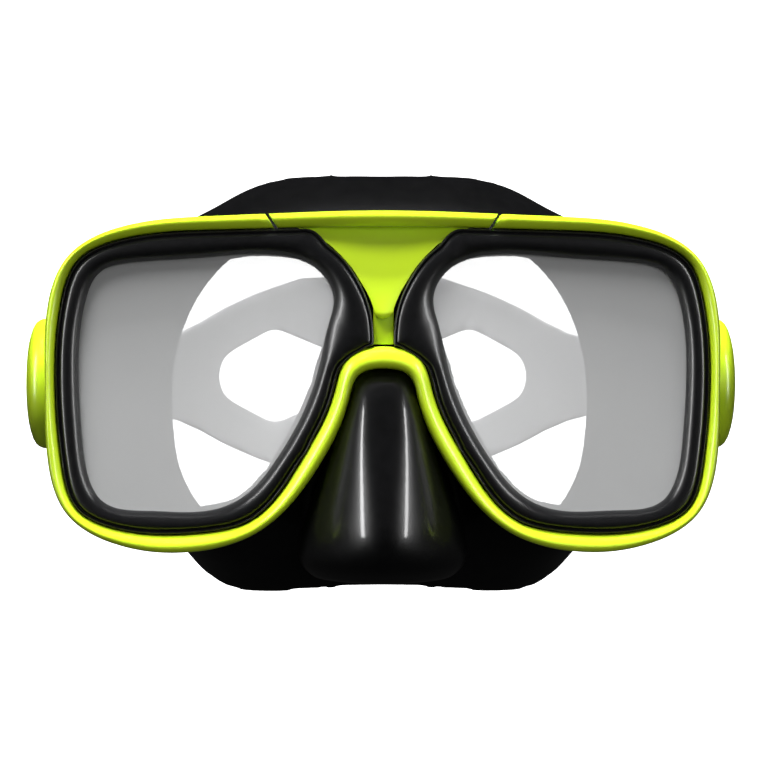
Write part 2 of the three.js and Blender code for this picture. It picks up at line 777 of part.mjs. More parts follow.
// A polygon with its corners rounded by curves.
function roundedCorners(points, radius) {
  const shape = new THREE.Shape();
  const v = points.map((p) => new THREE.Vector2(...p));
  v.forEach((corner, i) => {
    const before = v[(i + v.length - 1) % v.length];
    const after = v[(i + 1) % v.length];
    const cut = (end) => {
      const length = corner.distanceTo(end);
      return corner.clone().lerp(end, Math.min(radius, length / 2.2) / length);
    };
    const [a, b] = [cut(before), cut(after)];
    if (i === 0) shape.moveTo(a.x, a.y);
    else shape.lineTo(a.x, a.y);
    shape.quadraticCurveTo(corner.x, corner.y, b.x, b.y);
  });
  return shape.getPoints(3).slice(0, -1).map((p) => [p.x, p.y]);
}

// The rubber loop that holds the tail against the strap.
function keeper() {
  const { wall, span: [from, to], room } = KEEPER;
  const inner = -STRAP.thickness / 2 - GAP;
  const outer = TAIL_OFFSET + STRAP.thickness / 2 + GAP;
  const half = STRAP.half + room;
  const ring = (thick) => {
    const corners = [
      [from - (thick ? 0 : 3), inner - thick],
      [to + (thick ? 0 : 3), inner - thick],
      [to + (thick ? 0 : 3), outer + thick],
      [from - (thick ? 0 : 3), outer + thick],
    ].map(([along, across]) => onRun(along, across));
    return solid(slab(corners, [PIVOT.z - half - thick, PIVOT.z + half + thick]));
  };
  return geometryOf(ring(wall).subtract(ring(0)));
}

// ---------------------------------------------------------------- assembly
const mask = new THREE.Group();
function add(name, geometry, material) {
  const mesh = new THREE.Mesh(geometry, material.clone());
  mesh.name = name;
  mask.add(mesh);
}

add("rim", rim(), limePlastic);
add("bridge_cap", bridgeCap(), limePlastic);
add("bridge_strut", bridgeStrut(), limePlastic);
add("skirt", skirt(), silicone);
add("skirt_retainer", retainer(), blackPlastic);
add("strap", strap(), silicone);
for (const [name, side] of [["left", 1], ["right", -1]]) {
  const place = (geometry) => (side > 0 ? geometry : mirrorX(geometry));
  add(`${name}_bezel`, bezel(side), blackGloss);
  add(`${name}_lens`, lens(side), glass);
  add(`${name}_buckle_body`, place(buckleBody()), limePlastic);
  add(`${name}_swivel_pin`, place(swivelPin()), steel);
  add(`${name}_strap_roller`, place(roller()), blackPlastic);
  add(`${name}_roller_axle`, place(rollerAxle()), steel);
  add(`${name}_release_lever`, place(lever()), blackPlastic);
  add(`${name}_lever_pin`, place(leverPin()), steel);
  add(`${name}_lever_spring`, place(leverSpring()), steel);
  add(`${name}_strap_keeper`, place(keeper()), silicone);
}

export default mask;
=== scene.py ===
import json
import math
import bpy
import numpy as np
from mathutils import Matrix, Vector


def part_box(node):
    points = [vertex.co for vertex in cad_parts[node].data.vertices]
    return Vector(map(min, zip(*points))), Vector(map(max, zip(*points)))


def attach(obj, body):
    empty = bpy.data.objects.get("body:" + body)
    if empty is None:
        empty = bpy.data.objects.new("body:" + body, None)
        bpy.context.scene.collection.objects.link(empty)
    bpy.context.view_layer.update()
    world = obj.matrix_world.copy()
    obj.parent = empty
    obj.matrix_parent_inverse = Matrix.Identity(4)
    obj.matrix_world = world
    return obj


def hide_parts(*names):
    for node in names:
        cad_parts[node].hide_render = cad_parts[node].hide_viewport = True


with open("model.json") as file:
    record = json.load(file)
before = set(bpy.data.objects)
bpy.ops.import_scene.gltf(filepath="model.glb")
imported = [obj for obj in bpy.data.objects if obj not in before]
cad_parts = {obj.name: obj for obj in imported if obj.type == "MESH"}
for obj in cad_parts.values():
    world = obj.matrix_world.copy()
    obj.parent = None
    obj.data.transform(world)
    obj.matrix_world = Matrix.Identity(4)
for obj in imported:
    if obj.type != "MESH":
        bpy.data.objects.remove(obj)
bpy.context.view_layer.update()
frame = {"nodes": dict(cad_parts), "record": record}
mm = 0.001

# places that the frame gives, in millimetres; the wearer's left is at +X
joints = {joint["name"]: joint for joint in frame["record"]["behaviour"]["joints"]}
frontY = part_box("rim")[0].y / mm - 0.1
pivot = Vector(joints["strap_swing"]["pos_m"]) / mm
rollerSpot = Vector(joints["left_roller_spin"]["pos_m"]) / mm
leverSpot = Vector(joints["left_lever_lift"]["pos_m"]) / mm
print("frame loaded", len(frame["nodes"]), "nodes")


# ---- small tools

def deselect():
    bpy.ops.object.select_all(action="DESELECT")


def pick(obj):
    deselect()
    obj.select_set(True)
    bpy.context.view_layer.objects.active = obj


def applyModifier(obj, kind, **settings):
    pick(obj)
    modifier = obj.modifiers.new(kind.title(), kind)
    for key, value in settings.items():
        setattr(modifier, key, value)
    bpy.ops.object.modifier_apply(modifier=modifier.name)


def subdivide(obj, levels):
    applyModifier(obj, "SUBSURF", levels=levels, render_levels=levels)


def smooth(obj, angle=None):
    pick(obj)
    if angle is None:
        bpy.ops.object.shade_smooth()
    else:
        bpy.ops.object.shade_smooth_by_angle(angle=math.radians(angle))


def outwards(obj):
    pick(obj)
    bpy.ops.object.mode_set(mode="EDIT")
    bpy.ops.mesh.select_all(action="SELECT")
    bpy.ops.mesh.remove_doubles(threshold=0.00001)
    bpy.ops.mesh.normals_make_consistent(inside=False)
    bpy.ops.object.mode_set(mode="OBJECT")
    return obj


def settle(obj, name):
    # applies the object's place, so that it sits at the origin
    pick(obj)
    bpy.ops.object.transform_apply(location=True, rotation=True, scale=True)
    obj.name = name
    obj.data.name = name
    return obj


def cut(obj, tool, operation="DIFFERENCE"):
    applyModifier(obj, "BOOLEAN", operation=operation, object=tool, solver="EXACT")
    bpy.data.objects.remove(tool)


def join(parts, name):
    deselect()
    for part in parts:
        part.select_set(True)
    bpy.context.view_layer.objects.active = parts[0]
    bpy.ops.object.join()
    return settle(parts[0], name)


def place(obj, body, slot, material, *nodes):
    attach(obj, body)
    if nodes:
        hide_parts(*nodes)
    obj.data.materials.clear()
    obj.data.materials.append(material)


def mirrorCopy(obj, name):
    twin = obj.copy()
    twin.data = obj.data.copy()
    bpy.context.scene.collection.objects.link(twin)
    twin.scale.x = -1
    settle(twin, name)
    pick(twin)
    bpy.ops.object.mode_set(mode="EDIT")
    bpy.ops.mesh.select_all(action="SELECT")
    bpy.ops.mesh.normals_make_consistent(inside=False)
    bpy.ops.object.mode_set(mode="OBJECT")
    return twin


# ---- smooth outlines and lofts

def splineOf(points):
    # a closed smooth curve through the points: a function of the row number
    knots = np.array(points, float)
    count = len(knots)
    span = np.linalg.norm(np.roll(knots, -1, 0) - knots, axis=1)
    matrix = np.zeros((count, count))
    right = np.zeros_like(knots)
    for i in range(count):
        before, after = (i - 1) % count, (i + 1) % count
        matrix[i, before] += span[before]
        matrix[i, i] += 2 * (span[before] + span[i])
        matrix[i, after] += span[i]
        right[i] = 6 * ((knots[after] - knots[i]) / span[i] - (knots[i] - knots[before]) / span[before])
    bend = np.linalg.solve(matrix, right)

    def at(row):
        row = np.asarray(row, float) % count
        i = np.floor(row).astype(int) % count
        j = (i + 1) % count
        h = span[i][:, None]
        b = (row - np.floor(row))[:, None]
        a = 1 - b
        return a * knots[i] + b * knots[j] + ((a**3 - a) * bend[i] + (b**3 - b) * bend[j]) * h**2 / 6

    return at


def whole(rows):
    # a half outline from the top middle to the bottom middle, made whole
    other = [[-value if k % 2 == 0 else value for k, value in enumerate(row)] for row in rows[1:-1]]
    return rows + other[::-1]


def inset(outline, distance):
    before, after = np.roll(outline, 1, 0), np.roll(outline, -1, 0)
    x, z = outline[:, 0], outline[:, 1]
    area = np.sum(x * np.roll(z, -1) - np.roll(x, -1) * z)
    along = after - before
    along /= np.linalg.norm(along, axis=1)[:, None]
    side = np.sign(area) * np.asarray(distance)
    return outline + np.stack([-along[:, 1] * side, along[:, 0] * side], 1)


wrapSlope = math.tan(math.radians(5))  # each lens faces 5 degrees outwards
wrapStart = 10
lip = {"middle": -16, "sweep": 24, "halfWidth": 60}  # y of the skirt's lip, which sweeps back to the sides


def depthAt(depth, x):
    # y at a depth behind the front surface, which wraps back to both sides
    a = np.abs(x)
    back = np.where(a < wrapStart, a * a / (2 * wrapStart), a - wrapStart / 2)
    return frontY + depth + wrapSlope * back


def lipY(x):
    return lip["middle"] + lip["sweep"] * (np.asarray(x) / lip["halfWidth"]) ** 2


def atDepth(outline, depth):
    return np.stack([outline[:, 0], depthAt(depth, outline[:, 0]), outline[:, 1]], 1)


def loft(name, rings, loop=False):
    # a grid laid on closed rings of points, in millimetres; a loop ends on its first ring
    rings = list(rings) + ([rings[0]] if loop else [])
    spots = np.concatenate([np.vstack([ring, ring[:1]]) for ring in rings]) * mm
    deselect()
    bpy.ops.mesh.primitive_grid_add(x_subdivisions=len(rings[0]), y_subdivisions=len(rings) - 1)
    obj = bpy.context.object
    obj.data.vertices.foreach_set("co", spots.ravel())
    obj.location = (0, 0, 0)
    bpy.ops.object.mode_set(mode="EDIT")
    bpy.ops.mesh.select_all(action="SELECT")
    bpy.ops.mesh.remove_doubles(threshold=0.000005)
    if not loop:
        bpy.ops.mesh.fill_holes(sides=0)
    bpy.ops.mesh.select_all(action="SELECT")
    bpy.ops.mesh.normals_make_consistent(inside=False)
    bpy.ops.object.mode_set(mode="OBJECT")
    return settle(obj, name)


def across(inner, outer, share, inwards=0.0):
    # part of the way from the inner outline to the outer one, then a fixed distance back
    gap = outer - inner
    length = np.linalg.norm(gap, axis=1)[:, None]
    return inner + gap * share - gap / length * inwards


def hoop(name, inner, outer, section):
    # a closed ring whose section gives the share of the way out, distance back in and depth
    return loft(name, [atDepth(across(inner, outer, s, back), d) for s, back, d in section], loop=True)


def post(name, radius, low, high, spot, sides=40):
    # a round bar along z
    deselect()
    bpy.ops.mesh.primitive_cylinder_add(vertices=sides, radius=radius * mm, depth=(high - low) * mm,
                                        location=Vector((*spot, (low + high) / 2)) * mm)
    return settle(bpy.context.object, name)


def block(name, x, y, z):
    # a box between the limits given
    deselect()
    middle = Vector(((x[0] + x[1]) / 2, (y[0] + y[1]) / 2, (z[0] + z[1]) / 2))
    bpy.ops.mesh.primitive_cube_add(size=1, location=middle * mm)
    obj = bpy.context.object
    obj.scale = Vector((x[1] - x[0], y[1] - y[0], z[1] - z[0])) * mm
    return settle(obj, name)


def crossBar(name, radius, low, high, sides):
    # a round bar along x on the swivel's line
    deselect()
    bpy.ops.mesh.primitive_cylinder_add(vertices=sides, radius=radius * mm, depth=(high - low) * mm,
                                        location=Vector(((low + high) / 2, pivot.y, pivot.z)) * mm,
                                        rotation=(0, math.pi / 2, 0))
    return settle(bpy.context.object, name)


# ---- finishes

class Wire:
    # a socket that takes part in arithmetic
    def __init__(self, tree, socket):
        self.tree = tree
        self.socket = socket

    def calc(self, operation, a, b):
        node = self.tree.nodes.new("ShaderNodeMath")
        node.operation = operation
        for slotNumber, value in enumerate((a, b)):
            if isinstance(value, Wire):
                self.tree.links.new(value.socket, node.inputs[slotNumber])
            else:
                node.inputs[slotNumber].default_value = value
        return Wire(self.tree, node.outputs[0])

    def __add__(self, other):
        return self.calc("ADD", self, other)

    def __mul__(self, other):
        return self.calc("MULTIPLY", self, other)

    __radd__ = __add__
    __rmul__ = __mul__


socketNames = {
    "coatRoughness": "Coat Roughness", "specular": "Specular IOR Level", "metallic": "Metallic",
    "roughness": "Roughness", "emission": "Emission Color", "emissionStrength": "Emission Strength",
}


class Nodes:
    # adds nodes to a tree
    def __init__(self, tree):
        self.tree = tree

    def node(self, kind, settings, values, output=0):
        node = self.tree.nodes.new(kind)
        for key, value in settings.items():
            setattr(node, key, value)
        for key, value in values.items():
            if isinstance(value, Wire):
                self.tree.links.new(value.socket, node.inputs[key])
            else:
                node.inputs[key].default_value = value
        return Wire(self.tree, node.outputs[output])


class Finish(Nodes):
    # a material with one principled shader
    def __init__(self, name, **constants):
        self.material = bpy.data.materials.new(name)
        self.material.use_nodes = True
        super().__init__(self.material.node_tree)
        self.shader = self.tree.nodes["Principled BSDF"]
        for key, value in constants.items():
            self.shader.inputs[socketNames[key]].default_value = value
        self.spot = self.node("ShaderNodeTexCoord", {}, {}, "Object")

    def noise(self, scale, detail=3.0, stretch=None):
        place = self.spot
        if stretch:
            place = self.node("ShaderNodeMapping", {}, {"Vector": place, "Scale": stretch})
        values = {"Vector": place, "Scale": scale, "Detail": detail}
        return self.node("ShaderNodeTexNoise", {}, values, "Fac")

    def feed(self, socket, wire):
        self.tree.links.new(wire.socket, self.shader.inputs[socket])

    def bump(self, height, strength, distance):
        values = {"Height": height, "Strength": strength, "Distance": distance}
        self.feed("Normal", self.node("ShaderNodeBump", {}, values))

    def blend(self, low, high, mask):
        settings = {"data_type": "RGBA"}
        values = {0: mask, 6: (*low, 1), 7: (*high, 1)}
        self.feed("Base Color", self.node("ShaderNodeMix", settings, values, 2))


def yellowPlastic():
    # gloss moulding: faint flow clouding, orange peel and hairline scratches
    finish = Finish("yellowPlastic", coatRoughness=0.08, specular=0.45)
    clouds = finish.noise(38, 4)
    finish.blend((0.60, 0.86, 0.016), (0.70, 0.96, 0.026), clouds)
    scratches = finish.noise(900, 2, (1, 1, 0.06))
    finish.feed("Roughness", 0.26 + 0.10 * clouds + 0.05 * scratches)
    finish.feed("Coat Weight", 0.10 + 0.12 * finish.noise(16, 2))
    finish.bump(finish.noise(1400, 2) * 0.6 + finish.noise(170, 2) * 0.4, 0.10, 0.0002)
    return finish.material


def blackGloss():
    # polished clamp rings: deep black, with a trace of dust and faint swirl marks
    finish = Finish("blackGloss", coatRoughness=0.16, specular=0.42)
    dust = finish.noise(620, 5)
    finish.blend((0.0030, 0.0030, 0.0034), (0.0075, 0.0075, 0.0085), dust)
    finish.feed("Roughness", 0.30 + 0.08 * finish.noise(55, 4) + 0.03 * dust)
    finish.feed("Coat Weight", 0.10 + 0.10 * finish.noise(24, 2))
    finish.bump(finish.noise(900, 3), 0.02, 0.0001)
    return finish.material


def blackSilicone():
    # skirt: shiny liquid silicone with soft flow marks and a film of powder
    finish = Finish("blackSilicone", coatRoughness=0.10, specular=0.32)
    powder = finish.noise(310, 5)
    finish.blend((0.0016, 0.0016, 0.0018), (0.0046, 0.0046, 0.0050), powder)
    finish.feed("Roughness", 0.26 + 0.08 * finish.noise(30, 3) + 0.04 * powder)
    finish.feed("Coat Weight", 0.34 + 0.14 * finish.noise(20, 2))
    finish.bump(finish.noise(1700, 2), 0.03, 0.0001)
    return finish.material


def strapSilicone():
    # strap: rubber with a satin face, in a light grey that is much lighter than the skirt
    finish = Finish("strapSilicone", coatRoughness=0.3, specular=0.5)
    rubbed = finish.noise(42, 5)
    grain = finish.noise(1900, 3)
    finish.blend((0.23, 0.23, 0.236), (0.33, 0.33, 0.338), rubbed)
    finish.feed("Roughness", 0.42 + 0.12 * rubbed + 0.06 * grain)
    finish.feed("Coat Weight", 0.05 + 0.10 * finish.noise(18, 2))
    finish.bump(grain, 0.18, 0.0002)
    return finish.material


def blackPlastic():
    # levers, rollers and the retainer: fine spark-eroded texture, rubbed smooth in places
    finish = Finish("blackPlastic", specular=0.45)
    grain = finish.noise(1500, 4)
    rubbed = finish.noise(70, 4)
    finish.blend((0.010, 0.010, 0.011), (0.026, 0.026, 0.028), rubbed)
    finish.feed("Roughness", 0.38 + 0.16 * grain + 0.08 * rubbed)
    finish.bump(grain, 0.25, 0.0002)
    return finish.material


def lensGlass():
    # tempered glass with a faint whitish coating, cloudier where it was wiped
    finish = Finish("lensGlass", specular=0.3, coatRoughness=0.03)
    smears = finish.noise(26, 4, (1, 1, 0.4))
    finish.blend((0.88, 0.89, 0.89), (0.94, 0.945, 0.945), smears)
    finish.feed("Roughness", 0.16 + 0.10 * smears)
    finish.feed("Alpha", 0.33 + 0.03 * smears)
    finish.bump(finish.noise(60, 2), 0.01, 0.0002)
    return finish.material


def brushedSteel():
    finish = Finish("brushedSteel", metallic=1.0)
    lines = finish.noise(1200, 3, (0.05, 1, 1))
    finish.blend((0.46, 0.47, 0.48), (0.66, 0.67, 0.68), lines)
    finish.feed("Roughness", 0.24 + 0.18 * lines)
    finish.bump(lines, 0.12, 0.0001)
    return finish.material


yellow = yellowPlastic()
gloss = blackGloss()
silicone = blackSilicone()
strapRubber = strapSilicone()
plastic = blackPlastic()
glass = lensGlass()
steel = brushedSteel()
print("finishes made")


# ---- camera, lights and floor

def makeCamera():
    camera = {"distance": 0.750, "azimuth": -1.2, "elevation": 1.0, "lens": 141, "sensor": 36,
              "aimZ": -0.0005, "nearest": 0.01}
    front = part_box("rim")[0].y
    turn, lift = math.radians(camera["azimuth"]), math.radians(camera["elevation"])
    aim = Vector((0, front, camera["aimZ"]))
    back = Vector((math.sin(turn) * math.cos(lift), -math.cos(turn) * math.cos(lift), math.sin(lift)))
    data = bpy.data.cameras.new("camera")
    data.lens = camera["lens"]
    data.sensor_width = camera["sensor"]
    data.clip_start = camera["nearest"]
    obj = bpy.data.objects.new("camera", data)
    bpy.context.scene.collection.objects.link(obj)
    obj.location = aim + back * camera["distance"]
    obj.rotation_mode = "QUATERNION"
    obj.rotation_quaternion = (-back).to_track_quat("-Z", "Y")
    bpy.context.scene.camera = obj


def makeLight(name, place, size, power, aim=(0, -0.04, 0)):
    data = bpy.data.lights.new(name, "AREA")
    data.shape = "RECTANGLE"
    data.size, data.size_y = size
    data.energy = power
    obj = bpy.data.objects.new(name, data)
    bpy.context.scene.collection.objects.link(obj)
    obj.location = place
    obj.rotation_mode = "QUATERNION"
    obj.rotation_quaternion = (Vector(aim) - Vector(place)).to_track_quat("-Z", "Y")
    return obj


def makeLights():
    # key, overhead, front and strap lights give the colours and no highlights
    # the strips and the edge light give the highlights and no colour
    strip = {"angle": 63, "distance": 0.62, "size": (0.07, 0.56), "height": 0.13}
    rear = {"x": 0.32, "y": 0.80, "z": 0.38, "size": (0.22, 0.22), "power": 3.2}
    key = makeLight("key", (-0.3, -0.5, 0.82), (0.3, 0.3), 8)
    overhead = makeLight("overhead", (0, -0.18, 0.85), (0.5, 0.12), 14, aim=(0, -0.05, 0))
    front = makeLight("front", (0.3, -1.3, 0.2), (0.8, 0.5), 3.6)
    inside = makeLight("strapFill", (0, 0.035, 0), (0.08, 0.05), 0.013, aim=(0, 0.2, 0))
    for light in (key, overhead, front, inside):
        light.visible_glossy = False
        light.visible_camera = False
    for name, side, power in (("Left", -1, 4.2), ("Right", 1, 3.4)):
        turn = math.radians(strip["angle"])
        aside, forward = strip["distance"] * math.sin(turn), strip["distance"] * math.cos(turn)
        tall = makeLight("strip" + name, (side * aside, -forward, strip["height"]), strip["size"], power)
        tall.visible_diffuse = False
        back = makeLight("rear" + name, (side * rear["x"], rear["y"], rear["z"]), rear["size"], rear["power"])
        back.visible_glossy = False
    edge = makeLight("edge", (0, -0.12, 0.75), (0.7, 0.04), 0.6)
    edge.visible_diffuse = False
    rearFill = makeLight("rearFill", (0, 0.9, 0.6), (0.7, 0.4), 3)
    rearFill.visible_glossy = False


def makeWorld():
    # white to the camera, weak as fill light and dim in reflections, so that black stays black
    level = {"fill": 0.09, "seen": 1.8, "mirrored": 0.012}
    world = bpy.data.worlds.new("studio")
    bpy.context.scene.world = world
    world.use_nodes = True
    nodes = Nodes(world.node_tree)
    seen = nodes.node("ShaderNodeLightPath", {}, {}, "Is Camera Ray")
    mirrored = nodes.node("ShaderNodeLightPath", {}, {}, "Is Glossy Ray")
    strength = level["fill"] + (level["seen"] - level["fill"]) * seen
    strength = strength + (level["mirrored"] - level["fill"]) * mirrored
    background = world.node_tree.nodes["Background"]
    background.inputs["Color"].default_value = (1, 1, 1, 1)
    world.node_tree.links.new(strength.socket, background.inputs["Strength"])
    bpy.context.scene.view_settings.view_transform = "Standard"


def makeFloor():
    # a pale floor that curves up into a wall all round
    floor = {"level": -0.22, "flat": 1.5, "bend": 0.9, "top": 2.6, "steps": 12}
    mesh = bpy.data.meshes.new("floor")
    profile = [(0.001, floor["level"]), (floor["flat"], floor["level"])]
    for step in range(1, floor["steps"] + 1):
        turn = math.pi / 2 * step / floor["steps"]
        profile.append((floor["flat"] + floor["bend"] * math.sin(turn),
                        floor["level"] + floor["bend"] * (1 - math.cos(turn))))
    profile.append((floor["flat"] + floor["bend"], floor["top"]))
    mesh.from_pydata([(r, 0, z) for r, z in profile], [(i, i + 1) for i in range(len(profile) - 1)], [])
    obj = bpy.data.objects.new("floor", mesh)
    bpy.context.scene.collection.objects.link(obj)
    pick(obj)
    bpy.ops.object.mode_set(mode="EDIT")
    bpy.ops.mesh.select_all(action="SELECT")
    bpy.ops.mesh.spin(steps=64, angle=math.tau, center=(0, 0, 0), axis=(0, 0, 1))
    bpy.ops.mesh.select_all(action="SELECT")
    bpy.ops.mesh.remove_doubles(threshold=0.0001)
    bpy.ops.mesh.normals_make_consistent(inside=True)
    bpy.ops.object.mode_set(mode="OBJECT")
    smooth(obj)
    paper = Finish("floorPaper", roughness=0.9, specular=0.1,
                   emission=(1, 1, 1, 1), emissionStrength=1.8)
    paper.blend((0.86, 0.86, 0.86), (0.88, 0.88, 0.88), paper.noise(3, 3))
    obj.data.materials.append(paper.material)
    obj.visible_glossy = False
    obj.visible_diffuse = False


makeCamera()
makeLights()
makeWorld()
makeFloor()
print("camera, lights and floor made")


# ---- rim and bridge

# from the top middle round the side to the nose arch: outer edge x, z, inner edge x, z
rimEdges = [
    [0, 42.9, 0, 38.9], [43, 41.6, 43, 38.1], [67.8, 38.5, 67.2, 35.6], [79.5, 31.6, 77, 30.6],
    [84.4, 20.6, 81.2, 20.6], [85.3, 0, 82.9, 0], [84.5, -21.4, 81.2, -21.4], [80, -33.4, 77.5, -32.3],
    [69, -40.6, 68, -37.2], [46, -42.7, 46, -38.2], [31, -37.6, 33.5, -35.2], [15.2, -19.6, 19.9, -18.6],
    [8.6, -4.4, 12.4, -3], [6.4, 1.5, 9.5, 5.4], [0, 3.3, 0, 8.9],
]
rimRows = whole(rimEdges)
rimOuter = splineOf([row[:2] for row in rimRows])
rimInner = splineOf([row[2:] for row in rimRows])
rimCount = len(rimRows)

# share of the way from the inner edge to the outer, distance back in, depth
rimSection = [
    (0, 0, 5.0), (0, 0, 2.9), (0.04, 0, 2.25), (0.20, 0, 1.30), (0.42, 0, 0.50), (0.62, 0, 0.15),
    (0.80, 0, 0.45), (0.93, 0, 1.35), (1, 0, 2.8), (1, 0, 5.4), (1, 0, 7.6), (1, 0.35, 7.9), (1, 0.35, 8.3),
    (1, 0, 8.6), (1, 0, 11.2), (1, 0.35, 11.8), (0.8, 0, 12), (0.2, 0, 12), (0, -0.1, 11.7), (0, -0.1, 11),
]


frontRows = 6  # rows of the section nearer than this are the front face, which the joints lower


def bar(name, outerRows, innerRows, lowered):
    # a length of rim whose ends are cut on the slant, with each ring lowered as listed
    outer, inner = rimOuter(outerRows), rimInner(innerRows)
    rings = []
    for i, drop in enumerate(lowered):
        ring = []
        for share, back, depth in rimSection:
            x, z = across(inner[i : i + 1], outer[i : i + 1], share, back)[0]
            down = drop if depth < frontRows else 0
            ring.append((x, float(depthAt(depth + down, x)), z))
        rings.append(np.array(ring))
    return loft(name, rings)


def makeRim():
    rim = {"jointOuter": 0.690, "jointInner": 0.634, "ease": (0, 0.004, 0.012, 0.045, 0.065, 0.12, 0.2),
           "drops": (1.25, 0.75, 0.69, 0.05, 0, 0, 0, 0), "last": (0.95, 0.93), "steps": 5}
    # row numbers, easing from the slanted joint to matched rows
    half = [(rim["jointOuter"] + e, rim["jointInner"] + e) for e in rim["ease"]] + [rim["last"]]
    middle = np.arange(1, rimCount - 1 + 1e-6, 1 / rim["steps"])
    rows = half + [(m, m) for m in middle] + [(rimCount - o, rimCount - i) for o, i in half[::-1]]
    lowered = [*rim["drops"], *[0] * len(middle), *rim["drops"][::-1]]
    obj = bar("rim", [o for o, _ in rows], [i for _, i in rows], lowered)
    subdivide(obj, 2)
    smooth(obj)
    return obj


def makeLug():
    # the lug behind the rim, with the round ear that the buckle turns on
    lug = {"halfHeight": 11.6, "bore": 3.8, "ear": 9, "outer": 84.9, "foot": 83.3, "boreHalf": 10,
           "wall": (-32.3, -29.9), "armFront": -31, "footDepth": (-37, -30.2), "pinHead": 1.5, "gap": 0.5}
    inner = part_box("left_swivel_pin")[0].x / mm + lug["pinHead"]
    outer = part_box("left_buckle_body")[0].x / mm - lug["gap"]
    ear = crossBar("ear", lug["ear"], inner, outer, 64)
    for x, y, half in (((inner, outer), (lug["armFront"], pivot.y), lug["ear"]),
                       ((inner, lug["outer"]), lug["wall"], lug["halfHeight"]),
                       ((lug["foot"], lug["outer"]), lug["footDepth"], lug["halfHeight"])):
        cut(ear, block("block", x, y, (pivot.z - half, pivot.z + half)), "UNION")
    cut(ear, crossBar("bore", lug["bore"], outer - lug["boreHalf"], outer + lug["boreHalf"], 48))
    applyModifier(ear, "BEVEL", width=0.0005, segments=2, limit_method="ANGLE", angle_limit=math.radians(40))
    smooth(ear, 40)
    return ear


def makeBridge():
    # the middle of the top bar, set a little lower than the rim's ends
    cap = {"jointOuter": 0.672, "jointInner": 0.616, "drop": 0.55, "chamfer": (0.4, 0.05), "rows": 24}
    edge = [-1.0, -0.994, -0.975, *np.linspace(-0.93, 0.93, cap["rows"]), 0.975, 0.994, 1.0]
    outerRows = [cap["jointOuter"] * e for e in edge]
    innerRows = [cap["jointInner"] * e for e in edge]
    ends = [cap["drop"] + extra for extra in cap["chamfer"]]
    lowered = ends + [cap["drop"]] * (len(edge) - 4) + ends[::-1]
    top = bar("bridge", outerRows, innerRows, lowered)
    subdivide(top, 2)
    smooth(top)
    return join([top, makeWeb()], "bridge")


# half width of the space between the bezels, by height
webEdges = [(39.6, 24.0), (38.4, 21.0), (36.4, 17.0), (34.4, 13.5), (31.4, 10.4), (28.4, 7.85), (25.4, 5.95),
            (22.4, 4.2), (20.2, 3.2), (18.4, 2.55)]


def makeWeb():
    # the recessed tongue under the bar: hollow at the top, coming forward to a round tip
    web = {"top": 39.6, "round": 18.4, "tip": 15.7, "tipRows": (17.6, 16.9, 16.3, 15.95, 15.75), "back": 7.8,
           "topDepth": 6.1, "lowDepth": 2.6, "bend": 1.35, "turnIn": 0.9, "turnLength": 1.4, "hollow": 0.9,
           "crown": 0.5, "rows": 22, "columns": 15}
    heights = [*np.linspace(web["top"], web["round"], web["rows"]), *web["tipRows"], web["tip"]]
    known = np.array(webEdges)[::-1]
    u = np.linspace(-1, 1, web["columns"])
    rings = []
    for z in heights:
        width = np.interp(z, known[:, 0], known[:, 1])
        if z < web["round"]:
            down = (web["round"] - z) / (web["round"] - web["tip"])
            width = known[0, 1] * math.sqrt(max(0, 1 - down**2)) + 0.02
        fall = min(1, max(0, (z - web["tip"]) / (39 - web["tip"])))
        depth = web["lowDepth"] + (web["topDepth"] - web["lowDepth"]) * fall ** web["bend"]
        depth += web["turnIn"] * max(0, 1 - (z - web["tip"]) / web["turnLength"]) ** 2
        hollow = web["hollow"] * fall * (1 - u * u)  # the middle lies deeper near the bar
        crown = web["crown"] * (1 - fall) * u * u
        front = np.stack([u * width, frontY + depth + hollow + crown, np.full_like(u, z)], 1)
        back = front[::-1].copy()
        back[:, 1] = frontY + web["back"]
        rings.append(np.concatenate([front, back]))
    obj = loft("web", rings)
    applyModifier(obj, "BEVEL", width=0.00035, segments=3, limit_method="ANGLE", angle_limit=math.radians(50))
    smooth(obj, 50)
    return obj


def makeStrut():
    low, high = (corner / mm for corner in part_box("bridge_strut"))
    strut = block("strut", *zip(low, high))
    applyModifier(strut, "BEVEL", width=0.0003, segments=3, limit_method="ANGLE")
    smooth(strut, 40)
    return strut


leftEar = makeLug()
rimParts = [makeRim(), leftEar, mirrorCopy(leftEar, "rightEar")]
place(join(rimParts, "rimMoulding"), "mask", "yellow_plastic", yellow, "rim")
place(makeBridge(), "mask", "yellow_plastic", yellow, "bridge_cap")
place(makeStrut(), "mask", "yellow_plastic", yellow, "bridge_strut")
print("rim and bridge made")


# ---- bezels and lenses

# round from the top near the bridge: outer edge x, z, lens opening x, z
bezelEdges = [
    [22.2, 37.3, 24.8, 31.6], [46, 37.3, 46, 31.1], [64.5, 35.3, 63.5, 29.9], [75, 31.2, 71.5, 27.4],
    [80, 22.5, 74.8, 21], [82.3, 1.6, 76.8, 1.6], [81.2, -17.2, 75.8, -15.6], [79.4, -26.6, 74, -25.2],
    [74.8, -33.8, 71, -30.1], [61, -37, 58.5, -32.6], [40.5, -37, 42.2, -32.1], [32.4, -33.2, 35.2, -28.9],
    [21.2, -20.6, 27.2, -19.9], [15.8, -9.9, 21, -9.4], [10.6, 4.2, 16, 4.6], [3.3, 9.6, 13.8, 14.4],
    [2.9, 16.1, 12.5, 20.6], [5.8, 24.4, 14, 25.3], [12.4, 33, 19, 29.9],
]
bezelRows = np.arange(0, len(bezelEdges), 1 / 6)
bezelOuter = splineOf([row[:2] for row in bezelEdges])(bezelRows)
lensOpening = splineOf([row[2:] for row in bezelEdges])(bezelRows)


